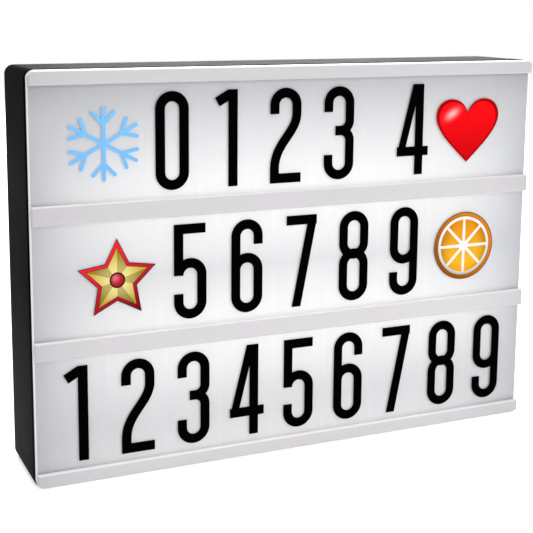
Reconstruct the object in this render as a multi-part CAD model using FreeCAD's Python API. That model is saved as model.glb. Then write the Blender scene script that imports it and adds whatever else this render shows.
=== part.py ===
import FreeCAD, Part
import math
import os
from FreeCAD import Vector

# A free-standing cinema light box: a black moulded tub closed by a lit opal panel, four rails
# whose lips hold three rows of clear letter tiles, and a battery bay, switch and socket behind.
# Millimetres. X runs along the rails, -Y is the lit front, +Z is up, and the box stands on Z = 0.

# ---- case ----
case_width = 305.0
case_height = 220.0
case_depth = 50.0
case_corner_radius = 5.0
case_wall = 2.5
case_draft = 0.8                # how far the sides and the top draw in from the rim to the back
back_edge_radius = 3.0
rim_chamfer = 0.8

# ---- front panel ----
panel_stand_out = 2.0
panel_thickness = 1.6
panel_edge_wall = 2.2
panel_side_inset = 1.0          # the black rim that shows beside the panel
panel_end_inset = 0.4           # the same above and below it
panel_edge_chamfer = 0.5
skirt_depth = 6.0
skirt_thickness = 1.8
skirt_clearance = 0.3

# ---- rails ----
rail_stand_out = 3.5
end_rail_height = 7.6
mid_rail_height = 10.2
groove_depth = 1.3              # front to back room for a tile
lip_overlap = 2.6               # how far a lip reaches over a tile's edge
rail_bevel = 0.7
tab_count = 3
tab_width = 9.0
tab_thickness = 2.4
tab_clearance = 0.15
tab_head_overlap = 0.8          # how far a staked tab spreads over its slot's edges
tab_head_height = 0.8

# ---- tiles ----
digit_tile_width = 29.0
motif_tile_width = 43.0
tile_thickness = 0.7
tile_corner_radius = 1.5
tile_rest_gap = 0.2             # under a tile's lower edge
tile_lift_gap = 0.8             # above its upper edge

# ---- screws that close the case ----
well_inset = 8.0                # from the outside of the case to a screw's axis
well_radius = 3.2
well_wall = 1.2                 # where the round well comes nearest to its square tower's sides
well_front_gap = 14.0           # from the rim to a well's front end
well_floor = 2.5
post_half_width = 3.2
post_gap = 0.3
pilot_depth = 9.0
screw_radius = 1.45
screw_hole_clearance = 0.25
pilot_clearance = 0.05
screw_length = 10.0
screw_head_radius = 2.7
screw_head_height = 1.9
cross_slot_width = 0.8
cross_slot_depth = 1.0

# ---- keyholes ----
keyhole_spacing = 200.0
keyhole_from_top = 32.0
keyhole_entry_radius = 4.25
keyhole_neck_width = 4.5
keyhole_rise = 9.0
keyhole_pocket_depth = 7.0
keyhole_pocket_wall = 1.5
keyhole_pocket_margin = 1.5

# ---- cells and their bay ----
cell_radius = 7.1
cell_body_length = 49.0
cell_cap_radius = 2.75
cell_cap_height = 1.2
cell_gap = 0.5                  # between one cell and the next above it
cell_rows = 3
cell_columns = 2
cell_floor_gap = 0.3
cell_side_gap = 0.4
plus_end_room = 0.8
minus_end_room = 4.0
bay_wall = 2.0
saddle_top = 1.3                # width of a ridge's flat top, which sets its height
saddle_thickness = 1.6
saddle_clearance = 0.3
saddle_at = 0.32                # saddles stand this share of a cell's length from its middle
contact_thickness = 0.4
contact_width = 10.0
contact_height = 11.0
dimple_radius = 2.2
contact_free_gap = 0.05
spring_wide_radius = 5.0
spring_narrow_radius = 3.4
tag_width = 3.0
tag_reach = 3.0
tag_clearance = 0.1

# ---- battery door ----
door_thickness = 2.2
door_margin_x = 5.5             # how far the door reaches past the bay
door_margin_z = 4.0
door_gap = 0.3
door_seat_gap = 0.2
ledge_thickness = 2.0
ledge_wall = 1.6
door_corner_radius = 2.0
door_rib_height = 1.4
door_rib_thickness = 1.2
hook_offset = 34.0
hook_width = 8.0
hook_thickness = 1.5
hook_gap = 0.3
hook_reach = 2.0                # past the edge of the opening, behind the back wall
hook_height = 2.0
hook_side_gap = 0.5
hook_swing_gap = 0.4
latch_width = 14.0
latch_length = 13.0
latch_slot = 1.0
nose_thickness = 1.2
nose_width = 10.0
nose_clearance = 0.1
grip_grooves = 3
grip_groove_pitch = 2.0
grip_groove_depth = 0.5
notch_radius = 8.0
notch_depth = 1.6
notch_width = 16.0

# ---- switch and socket ----
recess_from_right = 34.5        # from the case's right side to the middle of the recess
recess_from_base = 34.0
recess_width = 46.0
recess_height = 19.0
recess_depth = 4.0
recess_floor = 2.0
recess_corner_radius = 2.0
switch_offset = -12.5           # from the middle of the recess
socket_offset = 11.0
bezel_width = 10.5
bezel_height = 15.0
bezel_thickness = 1.5
switch_body_width = 8.6
switch_body_height = 13.2
switch_body_depth = 11.0
switch_hole_clearance = 0.15
rocker_width = 7.0
rocker_half_length = 5.2
rocker_cavity_gap = 0.7
rocker_side_gap = 0.25
rocker_floor_gap = 0.4
rocker_rise = 2.6
rocker_dip = 1.7
rocker_root = 3.0
rocker_tilt = 10.0
rocker_pin_radius = 0.8
rocker_pin_clearance = 0.06
rocker_pin_length = 0.5
blade_width = 3.0
blade_thickness = 0.8
blade_length = 5.0
blade_offset = 2.5

# ---- control board ----
board_thickness = 1.6
board_width = 28.0
board_height = 20.0
board_offset = 10.5
standoff_height = 5.0
standoff_radius = 2.3
standoff_spacing = 21.0
board_screw_radius = 1.0
board_screw_head_radius = 1.9
board_screw_head_height = 1.3
board_screw_length = 5.5
board_screw_clearance = 0.1
socket_width = 7.5
socket_height = 2.6
socket_wall = 0.35
socket_tongue_width = 3.6
socket_tongue_thickness = 0.6
socket_hole_clearance = 0.2
socket_set_back = 0.4

# ---- light source ----
sheet_thickness = 0.4
sheet_clearance = 0.6
strip_end_room = 17.5           # from the case's side to a strip's end
strip_width = 8.0
strip_thickness = 1.0
chip_count = 10
chip_length = 3.5
chip_width = 2.8
chip_height = 0.8
chip_end_margin = 13.5
strip_bay_gap = 1.2             # between a strip and the forms round the battery bay
pad_inset = 2.0                 # from a strip's end to its outer solder pad
pad_pitch = 2.5

# ---- leads ----
lead_radius = 0.65
lead_gap = 0.15
lead_turn = 6.0                 # a short run out of a tag, a blade or a board
lead_sweep = 12.0               # the step of a slanting run
lead_rise = 6.0                 # how far a lead stands off a strip before it turns
lead_side_room = 4.0            # beside the strips' ends
lead_settle = 20.0              # along which a lead comes down on to the sheet
bend_share = 0.45
lead_sides = 6                  # flats that stand for a lead's round section

# ---- places that follow from the sizes ----
total_depth = case_depth + panel_stand_out + rail_stand_out
y_rail_face = -total_depth / 2
y_panel_face = y_rail_face + rail_stand_out
y_groove_face = y_panel_face - groove_depth
y_rim = y_panel_face + panel_stand_out
y_back = y_rim + case_depth
y_floor = y_back - case_wall
y_panel_back = y_panel_face + panel_thickness
y_sheet = y_floor - sheet_thickness
y_strip = y_sheet - strip_thickness
y_well_front = y_rim + well_front_gap
y_well_floor = y_well_front + well_floor

front_half_width = case_width / 2 - panel_side_inset
front_bottom = panel_end_inset
front_top = case_height - panel_end_inset
row_height = (front_top - front_bottom - 2 * end_rail_height - 2 * mid_rail_height) / 3
row_pitch = row_height + mid_rail_height
lower_mid_z = front_bottom + end_rail_height + row_height + mid_rail_height / 2
upper_mid_z = lower_mid_z + row_pitch
row_bottoms = [front_bottom + end_rail_height + row_pitch * k for k in (2, 1, 0)]
tile_height = row_height + 2 * lip_overlap - tile_rest_gap - tile_lift_gap

cell_length = cell_body_length + cell_cap_height
cell_pitch = 2 * cell_radius + cell_gap
bay_length = cell_columns * cell_length + plus_end_room + minus_end_room
bay_height = (cell_rows - 1) * cell_pitch + 2 * (cell_radius + cell_side_gap)
bay_z = (lower_mid_z + upper_mid_z) / 2
y_bay_mouth = y_back - door_thickness
y_ledge = y_bay_mouth - door_seat_gap
y_cell = y_ledge - door_rib_height - cell_radius
y_bay_floor = y_cell - cell_radius - cell_floor_gap
door_half_width = bay_length / 2 + door_margin_x
door_bottom = bay_z - bay_height / 2 - door_margin_z
door_top = bay_z + bay_height / 2 + door_margin_z
hinge_y = y_back - door_thickness / 2
hinge_z = door_bottom + door_thickness / 2
y_hook = y_floor - hook_gap
hook_foot_z = door_bottom - door_gap - hook_reach
hook_swing = math.hypot(hinge_y - (y_hook - hook_thickness), hinge_z - hook_foot_z) + hook_swing_gap

strip_length = case_width - 2 * strip_end_room
strip_from_bay = bay_z - (hook_foot_z - hook_swing_gap - ledge_wall) + strip_bay_gap + strip_width / 2
lower_strip_z = bay_z - strip_from_bay
upper_strip_z = bay_z + strip_from_bay

recess_x = case_width / 2 - recess_from_right
recess_z = recess_from_base
y_recess = y_back - recess_depth
y_recess_inside = y_recess - recess_floor
switch_x = recess_x + switch_offset
socket_x = recess_x + socket_offset
board_x = recess_x + board_offset
y_board_outer = y_recess_inside - standoff_height
y_board_inner = y_board_outer - board_thickness
keyhole_z = case_height - keyhole_from_top


def block(x0, x1, y0, y1, z0, z1):
    """A box between two corners."""
    return Part.makeBox(x1 - x0, y1 - y0, z1 - z0, Vector(x0, y0, z0))


def rod(x, z, y0, y1, radius, end_radius=None):
    """A round rod or cone along Y from y0 to y1."""
    if end_radius is None:
        return Part.makeCylinder(radius, y1 - y0, Vector(x, y0, z), Vector(0, 1, 0))
    return Part.makeCone(radius, end_radius, y1 - y0, Vector(x, y0, z), Vector(0, 1, 0))


def rod_x(x0, x1, y, z, radius, end_radius=None):
    """A round rod or cone along X from x0 to x1."""
    if end_radius is None:
        return Part.makeCylinder(radius, x1 - x0, Vector(x0, y, z), Vector(1, 0, 0))
    return Part.makeCone(radius, end_radius, x1 - x0, Vector(x0, y, z), Vector(1, 0, 0))


def rounded_outline(y, x0, x1, z0, z1, radius):
    """A rounded rectangle in the plane Y = y."""
    corners = [(x1 - radius, z0 + radius, -90), (x1 - radius, z1 - radius, 0),
               (x0 + radius, z1 - radius, 90), (x0 + radius, z0 + radius, 180)]
    arcs = []
    for cx, cz, start in corners:
        points = []
        for turn in (0, 45, 90):
            angle = math.radians(start + turn)
            points.append(Vector(cx + radius * math.cos(angle), y, cz + radius * math.sin(angle)))
        arcs.append(points)
    edges = []
    for k, points in enumerate(arcs):
        edges.append(Part.Arc(*points).toShape())
        edges.append(Part.LineSegment(points[2], arcs[(k + 1) % 4][0]).toShape())
    return Part.Wire(edges)


def rounded_block(x0, x1, y0, y1, z0, z1, radius):
    """A box whose four edges along Y are rounded."""
    face = Part.Face(rounded_outline(y0, x0, x1, z0, z1, radius))
    return face.extrude(Vector(0, y1 - y0, 0))


def ring(outer, inner):
    """What is left of one closed form when another is taken out of it."""
    return outer.cut(inner)


def extruded_x(points, x0, x1):
    """A polygon of (y, z) points drawn out from x0 to x1."""
    corners = [Vector(x0, y, z) for y, z in points]
    return Part.Face(Part.makePolygon(corners + corners[:1])).extrude(Vector(x1 - x0, 0, 0))


def fused(first, *rest):
    """One solid from several that meet or overlap."""
    return first.fuse(list(rest)).removeSplitter()


def edges_in_plane(shape, y):
    """The edges that lie wholly in the plane Y = y."""
    return [e for e in shape.Edges if all(abs(v.Point.y - y) < 1e-6 for v in e.Vertexes)]


def drafted_block(y0, y1, offset, radius):
    """The tub's form from y0 to y1, moved inwards by offset: sides and top drawn in, edges rounded."""
    inset0, inset1 = [case_draft * (y - y_rim) / case_depth + offset for y in (y0, y1)]
    half = case_width / 2
    wedge = Part.makeWedge(inset0 - half, y0, offset, offset, inset1 - half, half - inset0, y1,
                           case_height - inset0, case_height - inset1, half - inset1)
    along = [e for e in wedge.Edges if abs(e.BoundBox.YLength - (y1 - y0)) < 1e-6]
    return wedge.makeFillet(radius, along)


def well_places():
    """The screws' axes: the four corners and the middle of the top and the base."""
    side = case_width / 2 - well_inset
    return [(x, z) for x in (-side, 0, side) for z in (well_inset, case_height - well_inset)]


# ---- what stands on the back wall; the reflector sheet is cut round the same forms ----

def well_towers(grow=0.0):
    towers = []
    for x, z in well_places():
        half = well_radius + well_wall + grow
        edge_z, inward = (0, 1) if z < case_height / 2 else (case_height, -1)
        low, high = sorted((edge_z + inward * case_wall / 2, z + inward * half))
        towers.append(block(x - half, x + half, y_well_front, y_floor + case_wall / 2, low, high))
    return towers


def keyhole_boxes(grow=0.0):
    half = keyhole_entry_radius + keyhole_pocket_margin + keyhole_pocket_wall + grow
    boxes = []
    for side in (-1, 1):
        x = side * keyhole_spacing / 2
        boxes.append(block(x - half, x + half, y_floor - keyhole_pocket_depth - keyhole_pocket_wall,
                           y_floor + case_wall / 2, keyhole_z - half, keyhole_z + keyhole_rise + half))
    return boxes


def bay_forms(grow=0.0):
    half_l = bay_length / 2 + bay_wall + grow
    half_h = bay_height / 2 + bay_wall + grow
    tub = block(-half_l, half_l, y_bay_floor - bay_wall, y_floor + case_wall / 2,
                bay_z - half_h, bay_z + half_h)
    rim_x = door_half_width + door_gap + ledge_wall + grow
    rim = block(-rim_x, rim_x, y_ledge - ledge_thickness, y_floor + case_wall / 2,
                door_bottom - door_gap - ledge_wall - grow, door_top + door_gap + ledge_wall + grow)
    forms = [tub, rim]
    for side in (-1, 1):
        half = hook_width / 2 + hook_side_gap + ledge_wall + grow
        x = side * hook_offset
        forms.append(block(x - half, x + half, hinge_y - hook_swing - ledge_wall, y_floor + case_wall / 2,
                           hook_foot_z - hook_swing_gap - ledge_wall - grow, bay_z - bay_height / 2))
    return forms


def recess_box(grow=0.0):
    half_w = recess_width / 2 + recess_floor + grow
    half_h = recess_height / 2 + recess_floor + grow
    return block(recess_x - half_w, recess_x + half_w, y_recess_inside, y_floor + case_wall / 2,
                 recess_z - half_h, recess_z + half_h)


def keyhole_cut(x):
    """A keyhole through the back wall, with the pocket for the screw head behind it."""
    half = keyhole_entry_radius + keyhole_pocket_margin
    reach = 1.0
    entry = rod(x, keyhole_z, y_floor - reach, y_back + reach, keyhole_entry_radius)
    neck = block(x - keyhole_neck_width / 2, x + keyhole_neck_width / 2, y_floor - reach,
                 y_back + reach, keyhole_z, keyhole_z + keyhole_rise)
    end = rod(x, keyhole_z + keyhole_rise, y_floor - reach, y_back + reach, keyhole_neck_width / 2)
    pocket = block(x - half, x + half, y_floor - keyhole_pocket_depth, y_floor,
                   keyhole_z - half, keyhole_z + keyhole_rise + half)
    return [entry, neck, end, pocket]


def door_outline(y0, y1, grow=0.0):
    """The door's outline drawn from y0 to y1: round corners at the latch, square ones at the hinge."""
    half = door_half_width + grow
    return fused(rounded_block(-half, half, y0, y1, bay_z, door_top + grow, door_corner_radius),
                 block(-half, half, y0, y1, door_bottom - grow, bay_z + door_corner_radius))


def bay_cuts():
    """The cells' room, the door's rebate, the hooks' slots and the finger notch over the latch."""
    reach = 1.0
    half_l = bay_length / 2
    half_h = bay_height / 2
    cuts = [block(-half_l, half_l, y_bay_floor, y_back + reach, bay_z - half_h, bay_z + half_h)]
    cuts.append(door_outline(y_ledge, y_back + reach, door_gap))
    for side in (-1, 1):
        half = hook_width / 2 + hook_side_gap
        x = side * hook_offset
        cuts.append(block(x - half, x + half, hinge_y - hook_swing, y_floor,
                          hook_foot_z - hook_swing_gap, bay_z - half_h + reach))
        cuts.append(block(x - half, x + half, hinge_y - hook_swing, y_back + reach,
                          door_bottom - door_gap, bay_z - half_h + reach))
    nose_half = nose_width / 2 + hook_side_gap
    cuts.append(block(-nose_half, nose_half, y_hook - nose_thickness - hook_gap, y_back,
                      bay_z + half_h - reach, door_top + door_gap))
    cuts.append(rod_x(-notch_width / 2, notch_width / 2, y_back + notch_radius - notch_depth,
                      door_top + door_gap, notch_radius))
    tag_half = tag_width / 2 + tag_clearance
    slot_half = contact_thickness / 2 + tag_clearance
    for side, row in ((-1, 0), (1, cell_rows - 1)):
        x0, x1 = sorted((side * (half_l - reach), side * (half_l + bay_wall + reach)))
        z = cell_z(row)
        cuts.append(block(x0, x1, y_cell - slot_half, y_cell + slot_half, z - tag_half, z + tag_half))
    return cuts


def cell_z(row):
    return bay_z + (row - (cell_rows - 1) / 2) * cell_pitch


def cell_start(row, column):
    """The X of a cell's lower end along the bay; odd rows face the other way."""
    room = minus_end_room if row % 2 == 0 else plus_end_room
    return -bay_length / 2 + room + column * cell_length


def saddles():
    """Ridges on the bay's floor, with flanks at 45 degrees that the cells lie between."""
    reach = cell_radius + saddle_clearance
    gap = reach * math.sqrt(2) - (y_cell - y_bay_floor)
    height = (cell_pitch - saddle_top) / 2 - gap
    y_top = y_bay_floor + height
    half_h = bay_height / 2
    ridges = []
    for row in range(cell_rows + 1):
        low = max(cell_z(row - 1) + gap, bay_z - half_h)
        high = min(cell_z(row) - gap, bay_z + half_h)
        low_top = low if row == 0 else low + height
        high_top = high if row == cell_rows else high - height
        ridges.append([(y_bay_floor, low), (y_top, low_top), (y_top, high_top), (y_bay_floor, high)])
    made = []
    for column in range(cell_columns):
        middle = -bay_length / 2 + bay_length * (column + 0.5) / cell_columns
        for side in (-1, 1):
            x = middle + side * saddle_at * cell_length
            made.extend(extruded_x(ridge, x - saddle_thickness / 2, x + saddle_thickness / 2)
                        for ridge in ridges)
    return made


def standoffs():
    made = []
    for side in (-1, 1):
        x = board_x + side * standoff_spacing / 2
        made.append(rod(x, recess_z, y_board_outer, y_recess_inside + recess_floor / 2, standoff_radius))
    return made


def rear_housing():
    outer = drafted_block(y_rim, y_back, 0, case_corner_radius)
    outer = outer.makeFillet(back_edge_radius, edges_in_plane(outer, y_back))
    outer = outer.makeChamfer(rim_chamfer, edges_in_plane(outer, y_rim))
    reach = 1.0
    inner = drafted_block(y_rim - reach, y_floor, case_wall, case_corner_radius - case_wall)
    shell = outer.cut(inner)
    inside = [*well_towers(), *keyhole_boxes(), *bay_forms(), recess_box(), *standoffs()]
    shell = fused(shell, *inside)
    cuts = bay_cuts()
    for side in (-1, 1):
        cuts.extend(keyhole_cut(side * keyhole_spacing / 2))
    for x, z in well_places():
        cuts.append(rod(x, z, y_well_floor, y_back + reach, well_radius))
        cuts.append(rod(x, z, y_well_front - reach, y_well_floor + reach,
                        screw_radius + screw_hole_clearance))
    cuts.append(rounded_block(recess_x - recess_width / 2, recess_x + recess_width / 2, y_recess,
                              y_back + reach, recess_z - recess_height / 2,
                              recess_z + recess_height / 2, recess_corner_radius))
    half_w = switch_body_width / 2 + switch_hole_clearance
    half_h = switch_body_height / 2 + switch_hole_clearance
    cuts.append(block(switch_x - half_w, switch_x + half_w, y_recess_inside - reach, y_recess + reach,
                      recess_z - half_h, recess_z + half_h))
    half_w = socket_width / 2 + socket_hole_clearance
    half_h = socket_height / 2 + socket_hole_clearance
    cuts.append(block(socket_x - half_w, socket_x + half_w, y_recess_inside - reach, y_recess + reach,
                      recess_z - half_h, recess_z + half_h))
    for side in (-1, 1):
        x = board_x + side * standoff_spacing / 2
        depth = board_screw_length - board_thickness + reach
        cuts.append(rod(x, recess_z, y_board_outer - reach, y_board_outer + depth,
                        board_screw_radius + pilot_clearance))
    return fused(shell.cut(cuts), *saddles())


def front_panel():
    outer = rounded_block(-front_half_width, front_half_width, y_panel_face, y_rim, front_bottom,
                          front_top, case_corner_radius - panel_side_inset)
    outer = outer.makeChamfer(panel_edge_chamfer, edges_in_plane(outer, y_panel_face))
    wall = panel_edge_wall
    pocket = block(-front_half_width + wall, front_half_width - wall, y_panel_back, y_rim + 1.0,
                   front_bottom + wall, front_top - wall)
    shell = outer.cut(pocket)
    outside = case_wall + skirt_clearance
    inside = outside + skirt_thickness
    y_skirt_end = y_rim + skirt_depth
    skirt_radius = case_corner_radius - outside
    skirt = ring(rounded_block(-case_width / 2 + outside, case_width / 2 - outside, y_panel_back,
                               y_skirt_end, outside, case_height - outside, skirt_radius),
                 block(-case_width / 2 + inside, case_width / 2 - inside, y_panel_back - 1.0,
                       y_skirt_end + 1.0, inside, case_height - inside))
    post_end = y_well_front - post_gap
    posts = [block(x - post_half_width, x + post_half_width, y_panel_back - panel_thickness / 2, post_end,
                   z - post_half_width, z + post_half_width) for x, z in well_places()]
    shell = fused(shell, skirt, *posts)
    cuts = [rod(x, z, post_end - pilot_depth, post_end + 1.0, screw_radius + pilot_clearance)
            for x, z in well_places()]
    for z in (lower_mid_z, upper_mid_z):
        cuts.extend(tabs(z, y_panel_face - 1.0, y_panel_back + 1.0, tab_clearance))
    return shell.cut(cuts)


def tabs(z, y0, y1, grow=0.0):
    """The flat tabs behind a middle rail, from y0 to y1."""
    step = 2 * front_half_width / tab_count
    half_w = tab_width / 2 + grow
    half_t = tab_thickness / 2 + grow
    middles = [-front_half_width + step * (k + 0.5) for k in range(tab_count)]
    return [block(x - half_w, x + half_w, y0, y1, z - half_t, z + half_t) for x in middles]


def rail_envelope():
    """The front's outline with its rounded corners, bevelled at both ends in plan."""
    length = 2 * front_half_width
    y0 = y_rail_face
    outline = rounded_block(-front_half_width, front_half_width, y0, y_panel_face, front_bottom,
                            front_top, case_corner_radius - panel_side_inset)
    plan = [(-length / 2, y_panel_face), (-length / 2, y0 + rail_bevel),
            (-length / 2 + rail_bevel, y0), (length / 2 - rail_bevel, y0),
            (length / 2, y0 + rail_bevel), (length / 2, y_panel_face)]
    corners = [Vector(x, y, 0) for x, y in plan]
    return outline.common(Part.Face(Part.makePolygon(corners + corners[:1])).extrude(
        Vector(0, 0, case_height)))


def end_rail(z_edge, inward):
    """The top or bottom rail: flush at the case's edge, one lip reaching inward (+1 or -1)."""
    z_lip = z_edge + inward * end_rail_height
    z_web = z_lip - inward * lip_overlap
    bevel = inward * rail_bevel
    points = [(y_panel_face, z_edge), (y_rail_face + rail_bevel, z_edge), (y_rail_face, z_edge + bevel),
              (y_rail_face, z_lip - bevel), (y_rail_face + rail_bevel, z_lip), (y_groove_face, z_lip),
              (y_groove_face, z_web), (y_panel_face, z_web)]
    return extruded_x(points, -front_half_width, front_half_width).common(rail_envelope())


def mid_rail(z):
    """A middle rail: a web on the panel, a lip up and a lip down, and tabs staked behind the panel."""
    half = mid_rail_height / 2
    web = half - lip_overlap
    upper = [(y_panel_face, web), (y_groove_face, web), (y_groove_face, half),
             (y_rail_face + rail_bevel, half), (y_rail_face, half - rail_bevel)]
    points = upper + [(y, -dz) for y, dz in reversed(upper)]
    rail = extruded_x([(y, z + dz) for y, dz in points], -front_half_width, front_half_width)
    rail = rail.common(rail_envelope())
    stems = tabs(z, y_panel_face - groove_depth / 2, y_panel_back)
    heads = tabs(z, y_panel_back, y_panel_back + tab_head_height, tab_head_overlap)
    return fused(rail, *stems, *heads)


# ---- tiles: a row is its tiles' widths and the free lengths before, between and after them ----
top_row = ([motif_tile_width] + [digit_tile_width] * 5 + [motif_tile_width],
           [17.7, 1.2, 4.0, 4.0, 4.0, 19.3, 1.2, 22.0])
middle_row = ([motif_tile_width] + [digit_tile_width] * 5 + [motif_tile_width],
              [24.1, 4.9, 4.3, 4.3, 4.3, 4.3, 5.5, 21.7])
bottom_row = ([digit_tile_width] * 9, [9.7] + [3.0] * 8 + [9.7])


def tile_row(row, z_low):
    """The tiles of one row as (x0, x1) pairs made into thin plates, from left to right."""
    widths, gaps = row
    share = (2 * front_half_width - sum(widths)) / sum(gaps)
    y0 = (y_panel_face + y_groove_face - tile_thickness) / 2
    z0 = z_low - lip_overlap + tile_rest_gap
    x = -front_half_width
    plates = []
    for width, gap in zip(widths, gaps):
        x += gap * share
        plates.append(rounded_block(x, x + width, y0, y0 + tile_thickness, z0, z0 + tile_height,
                                    tile_corner_radius))
        x += width
    return plates


def reflector_sheet():
    reach = sheet_clearance + case_draft
    half = case_width / 2 - case_wall - reach
    sheet = rounded_block(-half, half, y_sheet, y_floor, case_wall + reach,
                          case_height - case_wall - reach, case_corner_radius)
    towers = well_towers(sheet_clearance) + keyhole_boxes(sheet_clearance)
    return sheet.cut(towers + bay_forms(sheet_clearance) + [recess_box(sheet_clearance)])


def led_strip(z):
    return block(-strip_length / 2, strip_length / 2, y_strip, y_sheet,
                 z - strip_width / 2, z + strip_width / 2)


def led_chips(z):
    step = (strip_length - 2 * chip_end_margin) / (chip_count - 1)
    chips = []
    for k in range(chip_count):
        x = -strip_length / 2 + chip_end_margin + k * step
        chips.append(block(x - chip_length / 2, x + chip_length / 2, y_strip - chip_height, y_strip,
                           z - chip_width / 2, z + chip_width / 2))
    return Part.Compound(chips)


def aa_cell(row, column):
    """One cell, its cap towards +X in even rows and -X in odd ones."""
    start = cell_start(row, column)
    forward = row % 2 == 0
    low = start if forward else start + cell_cap_height
    body = rod_x(low, low + cell_body_length, y_cell, cell_z(row), cell_radius)
    cap_low = low + cell_body_length if forward else start
    return fused(body, rod_x(cap_low, cap_low + cell_cap_height, y_cell, cell_z(row), cell_cap_radius))


def contact(side, rows):
    """A plated contact on one end wall of the bay, across one row or bridging two."""
    x_wall = side * bay_length / 2
    x_face = x_wall - side * contact_thickness
    x0, x1 = sorted((x_wall, x_face))
    zs = [cell_z(row) for row in rows]
    plate = block(x0, x1, y_cell - contact_height / 2, y_cell + contact_height / 2,
                  min(zs) - contact_width / 2, max(zs) + contact_width / 2)
    extras = []
    for row in rows:
        cap_here = (side > 0) == (row % 2 == 0)
        if cap_here:
            height = plus_end_room - contact_thickness - contact_free_gap
            x0, x1 = sorted((x_face, x_face - side * height))
            extras.append(rod_x(x0, x1, y_cell, cell_z(row), dimple_radius))
    if len(rows) == 1:
        x0, x1 = sorted((x_wall, x_wall + side * (bay_wall + tag_reach)))
        extras.append(block(x0, x1, y_cell - contact_thickness / 2, y_cell + contact_thickness / 2,
                            zs[0] - tag_width / 2, zs[0] + tag_width / 2))
    return fused(plate, *extras) if extras else plate


def contact_plates():
    last = cell_rows - 1
    made = [contact(-1, [0]), contact(1, [last])]
    for row in range(last):
        made.append(contact(1 if row % 2 == 0 else -1, [row, row + 1]))
    return Part.Compound(made)


def battery_springs():
    """The spring under each cell's flat end, as the cone it is wound on."""
    made = []
    for row in range(cell_rows):
        side = -1 if row % 2 == 0 else 1
        x_plate = side * (bay_length / 2 - contact_thickness)
        x_cell = side * (bay_length / 2 - minus_end_room + contact_free_gap)
        if side < 0:
            made.append(rod_x(x_plate, x_cell, y_cell, cell_z(row), spring_wide_radius,
                              spring_narrow_radius))
        else:
            made.append(rod_x(x_cell, x_plate, y_cell, cell_z(row), spring_narrow_radius,
                              spring_wide_radius))
    return Part.Compound(made)


def battery_door():
    """The door: a plate that turns on its rounded lower edge, two hooks, and a latch tongue."""
    blank = block(-door_half_width, door_half_width, y_bay_mouth, y_back, hinge_z, door_top)
    round_edge = rod_x(-door_half_width, door_half_width, hinge_y, hinge_z, door_thickness / 2)
    plate = door_outline(y_bay_mouth, y_back).common(fused(blank, round_edge))
    solids = []
    root_z = hinge_z + hook_height
    for side in (-1, 1):
        x0 = side * hook_offset - hook_width / 2
        x1 = x0 + hook_width
        solids.append(block(x0, x1, y_hook - hook_thickness, y_bay_mouth + door_thickness / 4,
                            root_z - hook_thickness, root_z))
        solids.append(block(x0, x1, y_hook - hook_thickness, y_hook, hook_foot_z, root_z))
    latch_low = door_top - latch_length
    nose_half = nose_width / 2
    solids.append(block(-nose_half, nose_half, y_hook - nose_thickness, y_bay_mouth + door_thickness / 4,
                        door_top - 2 * nose_thickness, door_top))
    solids.append(block(-nose_half, nose_half, y_hook - nose_thickness, y_hook, door_top,
                        door_top + door_gap - nose_clearance))
    rib_reach = bay_length / 2 - 2 * door_margin_x
    for row in range(cell_rows - 1):
        z = cell_z(row) + cell_pitch / 2
        solids.append(block(-rib_reach, rib_reach, y_bay_mouth - door_rib_height,
                            y_bay_mouth + door_thickness / 4, z - door_rib_thickness / 2,
                            z + door_rib_thickness / 2))
    door = fused(plate, *solids)
    cuts = []
    for side in (-1, 1):
        x0, x1 = sorted((side * latch_width / 2, side * (latch_width / 2 + latch_slot)))
        cuts.append(block(x0, x1, y_bay_mouth - 1.0, y_back + 1.0, latch_low, door_top + 1.0))
    cuts.append(rod_x(-notch_width / 2, notch_width / 2, y_back + notch_radius - notch_depth,
                      door_top + door_gap, notch_radius))
    for k in range(grip_grooves):
        z = latch_low + grip_groove_pitch * (k + 1)
        cuts.append(block(-latch_width / 2 + latch_slot, latch_width / 2 - latch_slot,
                          y_back - grip_groove_depth, y_back + 1.0, z - grip_groove_depth,
                          z + grip_groove_depth))
    return door.cut(cuts)


def switch_body():
    """The switch's case: a bezel on the recess's floor and a snap-in body with a well for the rocker."""
    bezel = rounded_block(switch_x - bezel_width / 2, switch_x + bezel_width / 2, y_recess,
                          y_recess + bezel_thickness, recess_z - bezel_height / 2,
                          recess_z + bezel_height / 2, recess_corner_radius / 2)
    body = block(switch_x - switch_body_width / 2, switch_x + switch_body_width / 2,
                 y_recess - switch_body_depth, y_recess, recess_z - switch_body_height / 2,
                 recess_z + switch_body_height / 2)
    half_w = rocker_width / 2 + rocker_side_gap
    half_h = rocker_half_length + rocker_cavity_gap
    depth = math.hypot(rocker_root, rocker_half_length * 0.6) + rocker_floor_gap
    well = block(switch_x - half_w, switch_x + half_w, y_recess - depth,
                 y_recess + bezel_thickness + 1.0, recess_z - half_h, recess_z + half_h)
    pin_reach = rocker_width / 2 + rocker_pin_length + rocker_pin_clearance
    pin_room = rod_x(switch_x - pin_reach, switch_x + pin_reach, y_recess, recess_z,
                     rocker_pin_radius + rocker_pin_clearance)
    return fused(bezel, body).cut([well, pin_room])


def switch_rocker():
    """The rocker on its two pins, pressed at its upper end."""
    tip = rocker_half_length
    points = [(rocker_rise, -tip), (rocker_dip, 0), (rocker_rise, tip), (rocker_rise / 4, tip),
              (-rocker_root, tip * 0.6), (-rocker_root, -tip * 0.6), (rocker_rise / 4, -tip)]
    half = rocker_width / 2
    rocker = extruded_x([(y_recess + v, recess_z + u) for v, u in points], switch_x - half,
                        switch_x + half)
    reach = half + rocker_pin_length
    rocker = fused(rocker, rod_x(switch_x - reach, switch_x + reach, y_recess, recess_z,
                                 rocker_pin_radius))
    rocker.rotate(Vector(switch_x, y_recess, recess_z), Vector(1, 0, 0), rocker_tilt)
    return rocker


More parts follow.
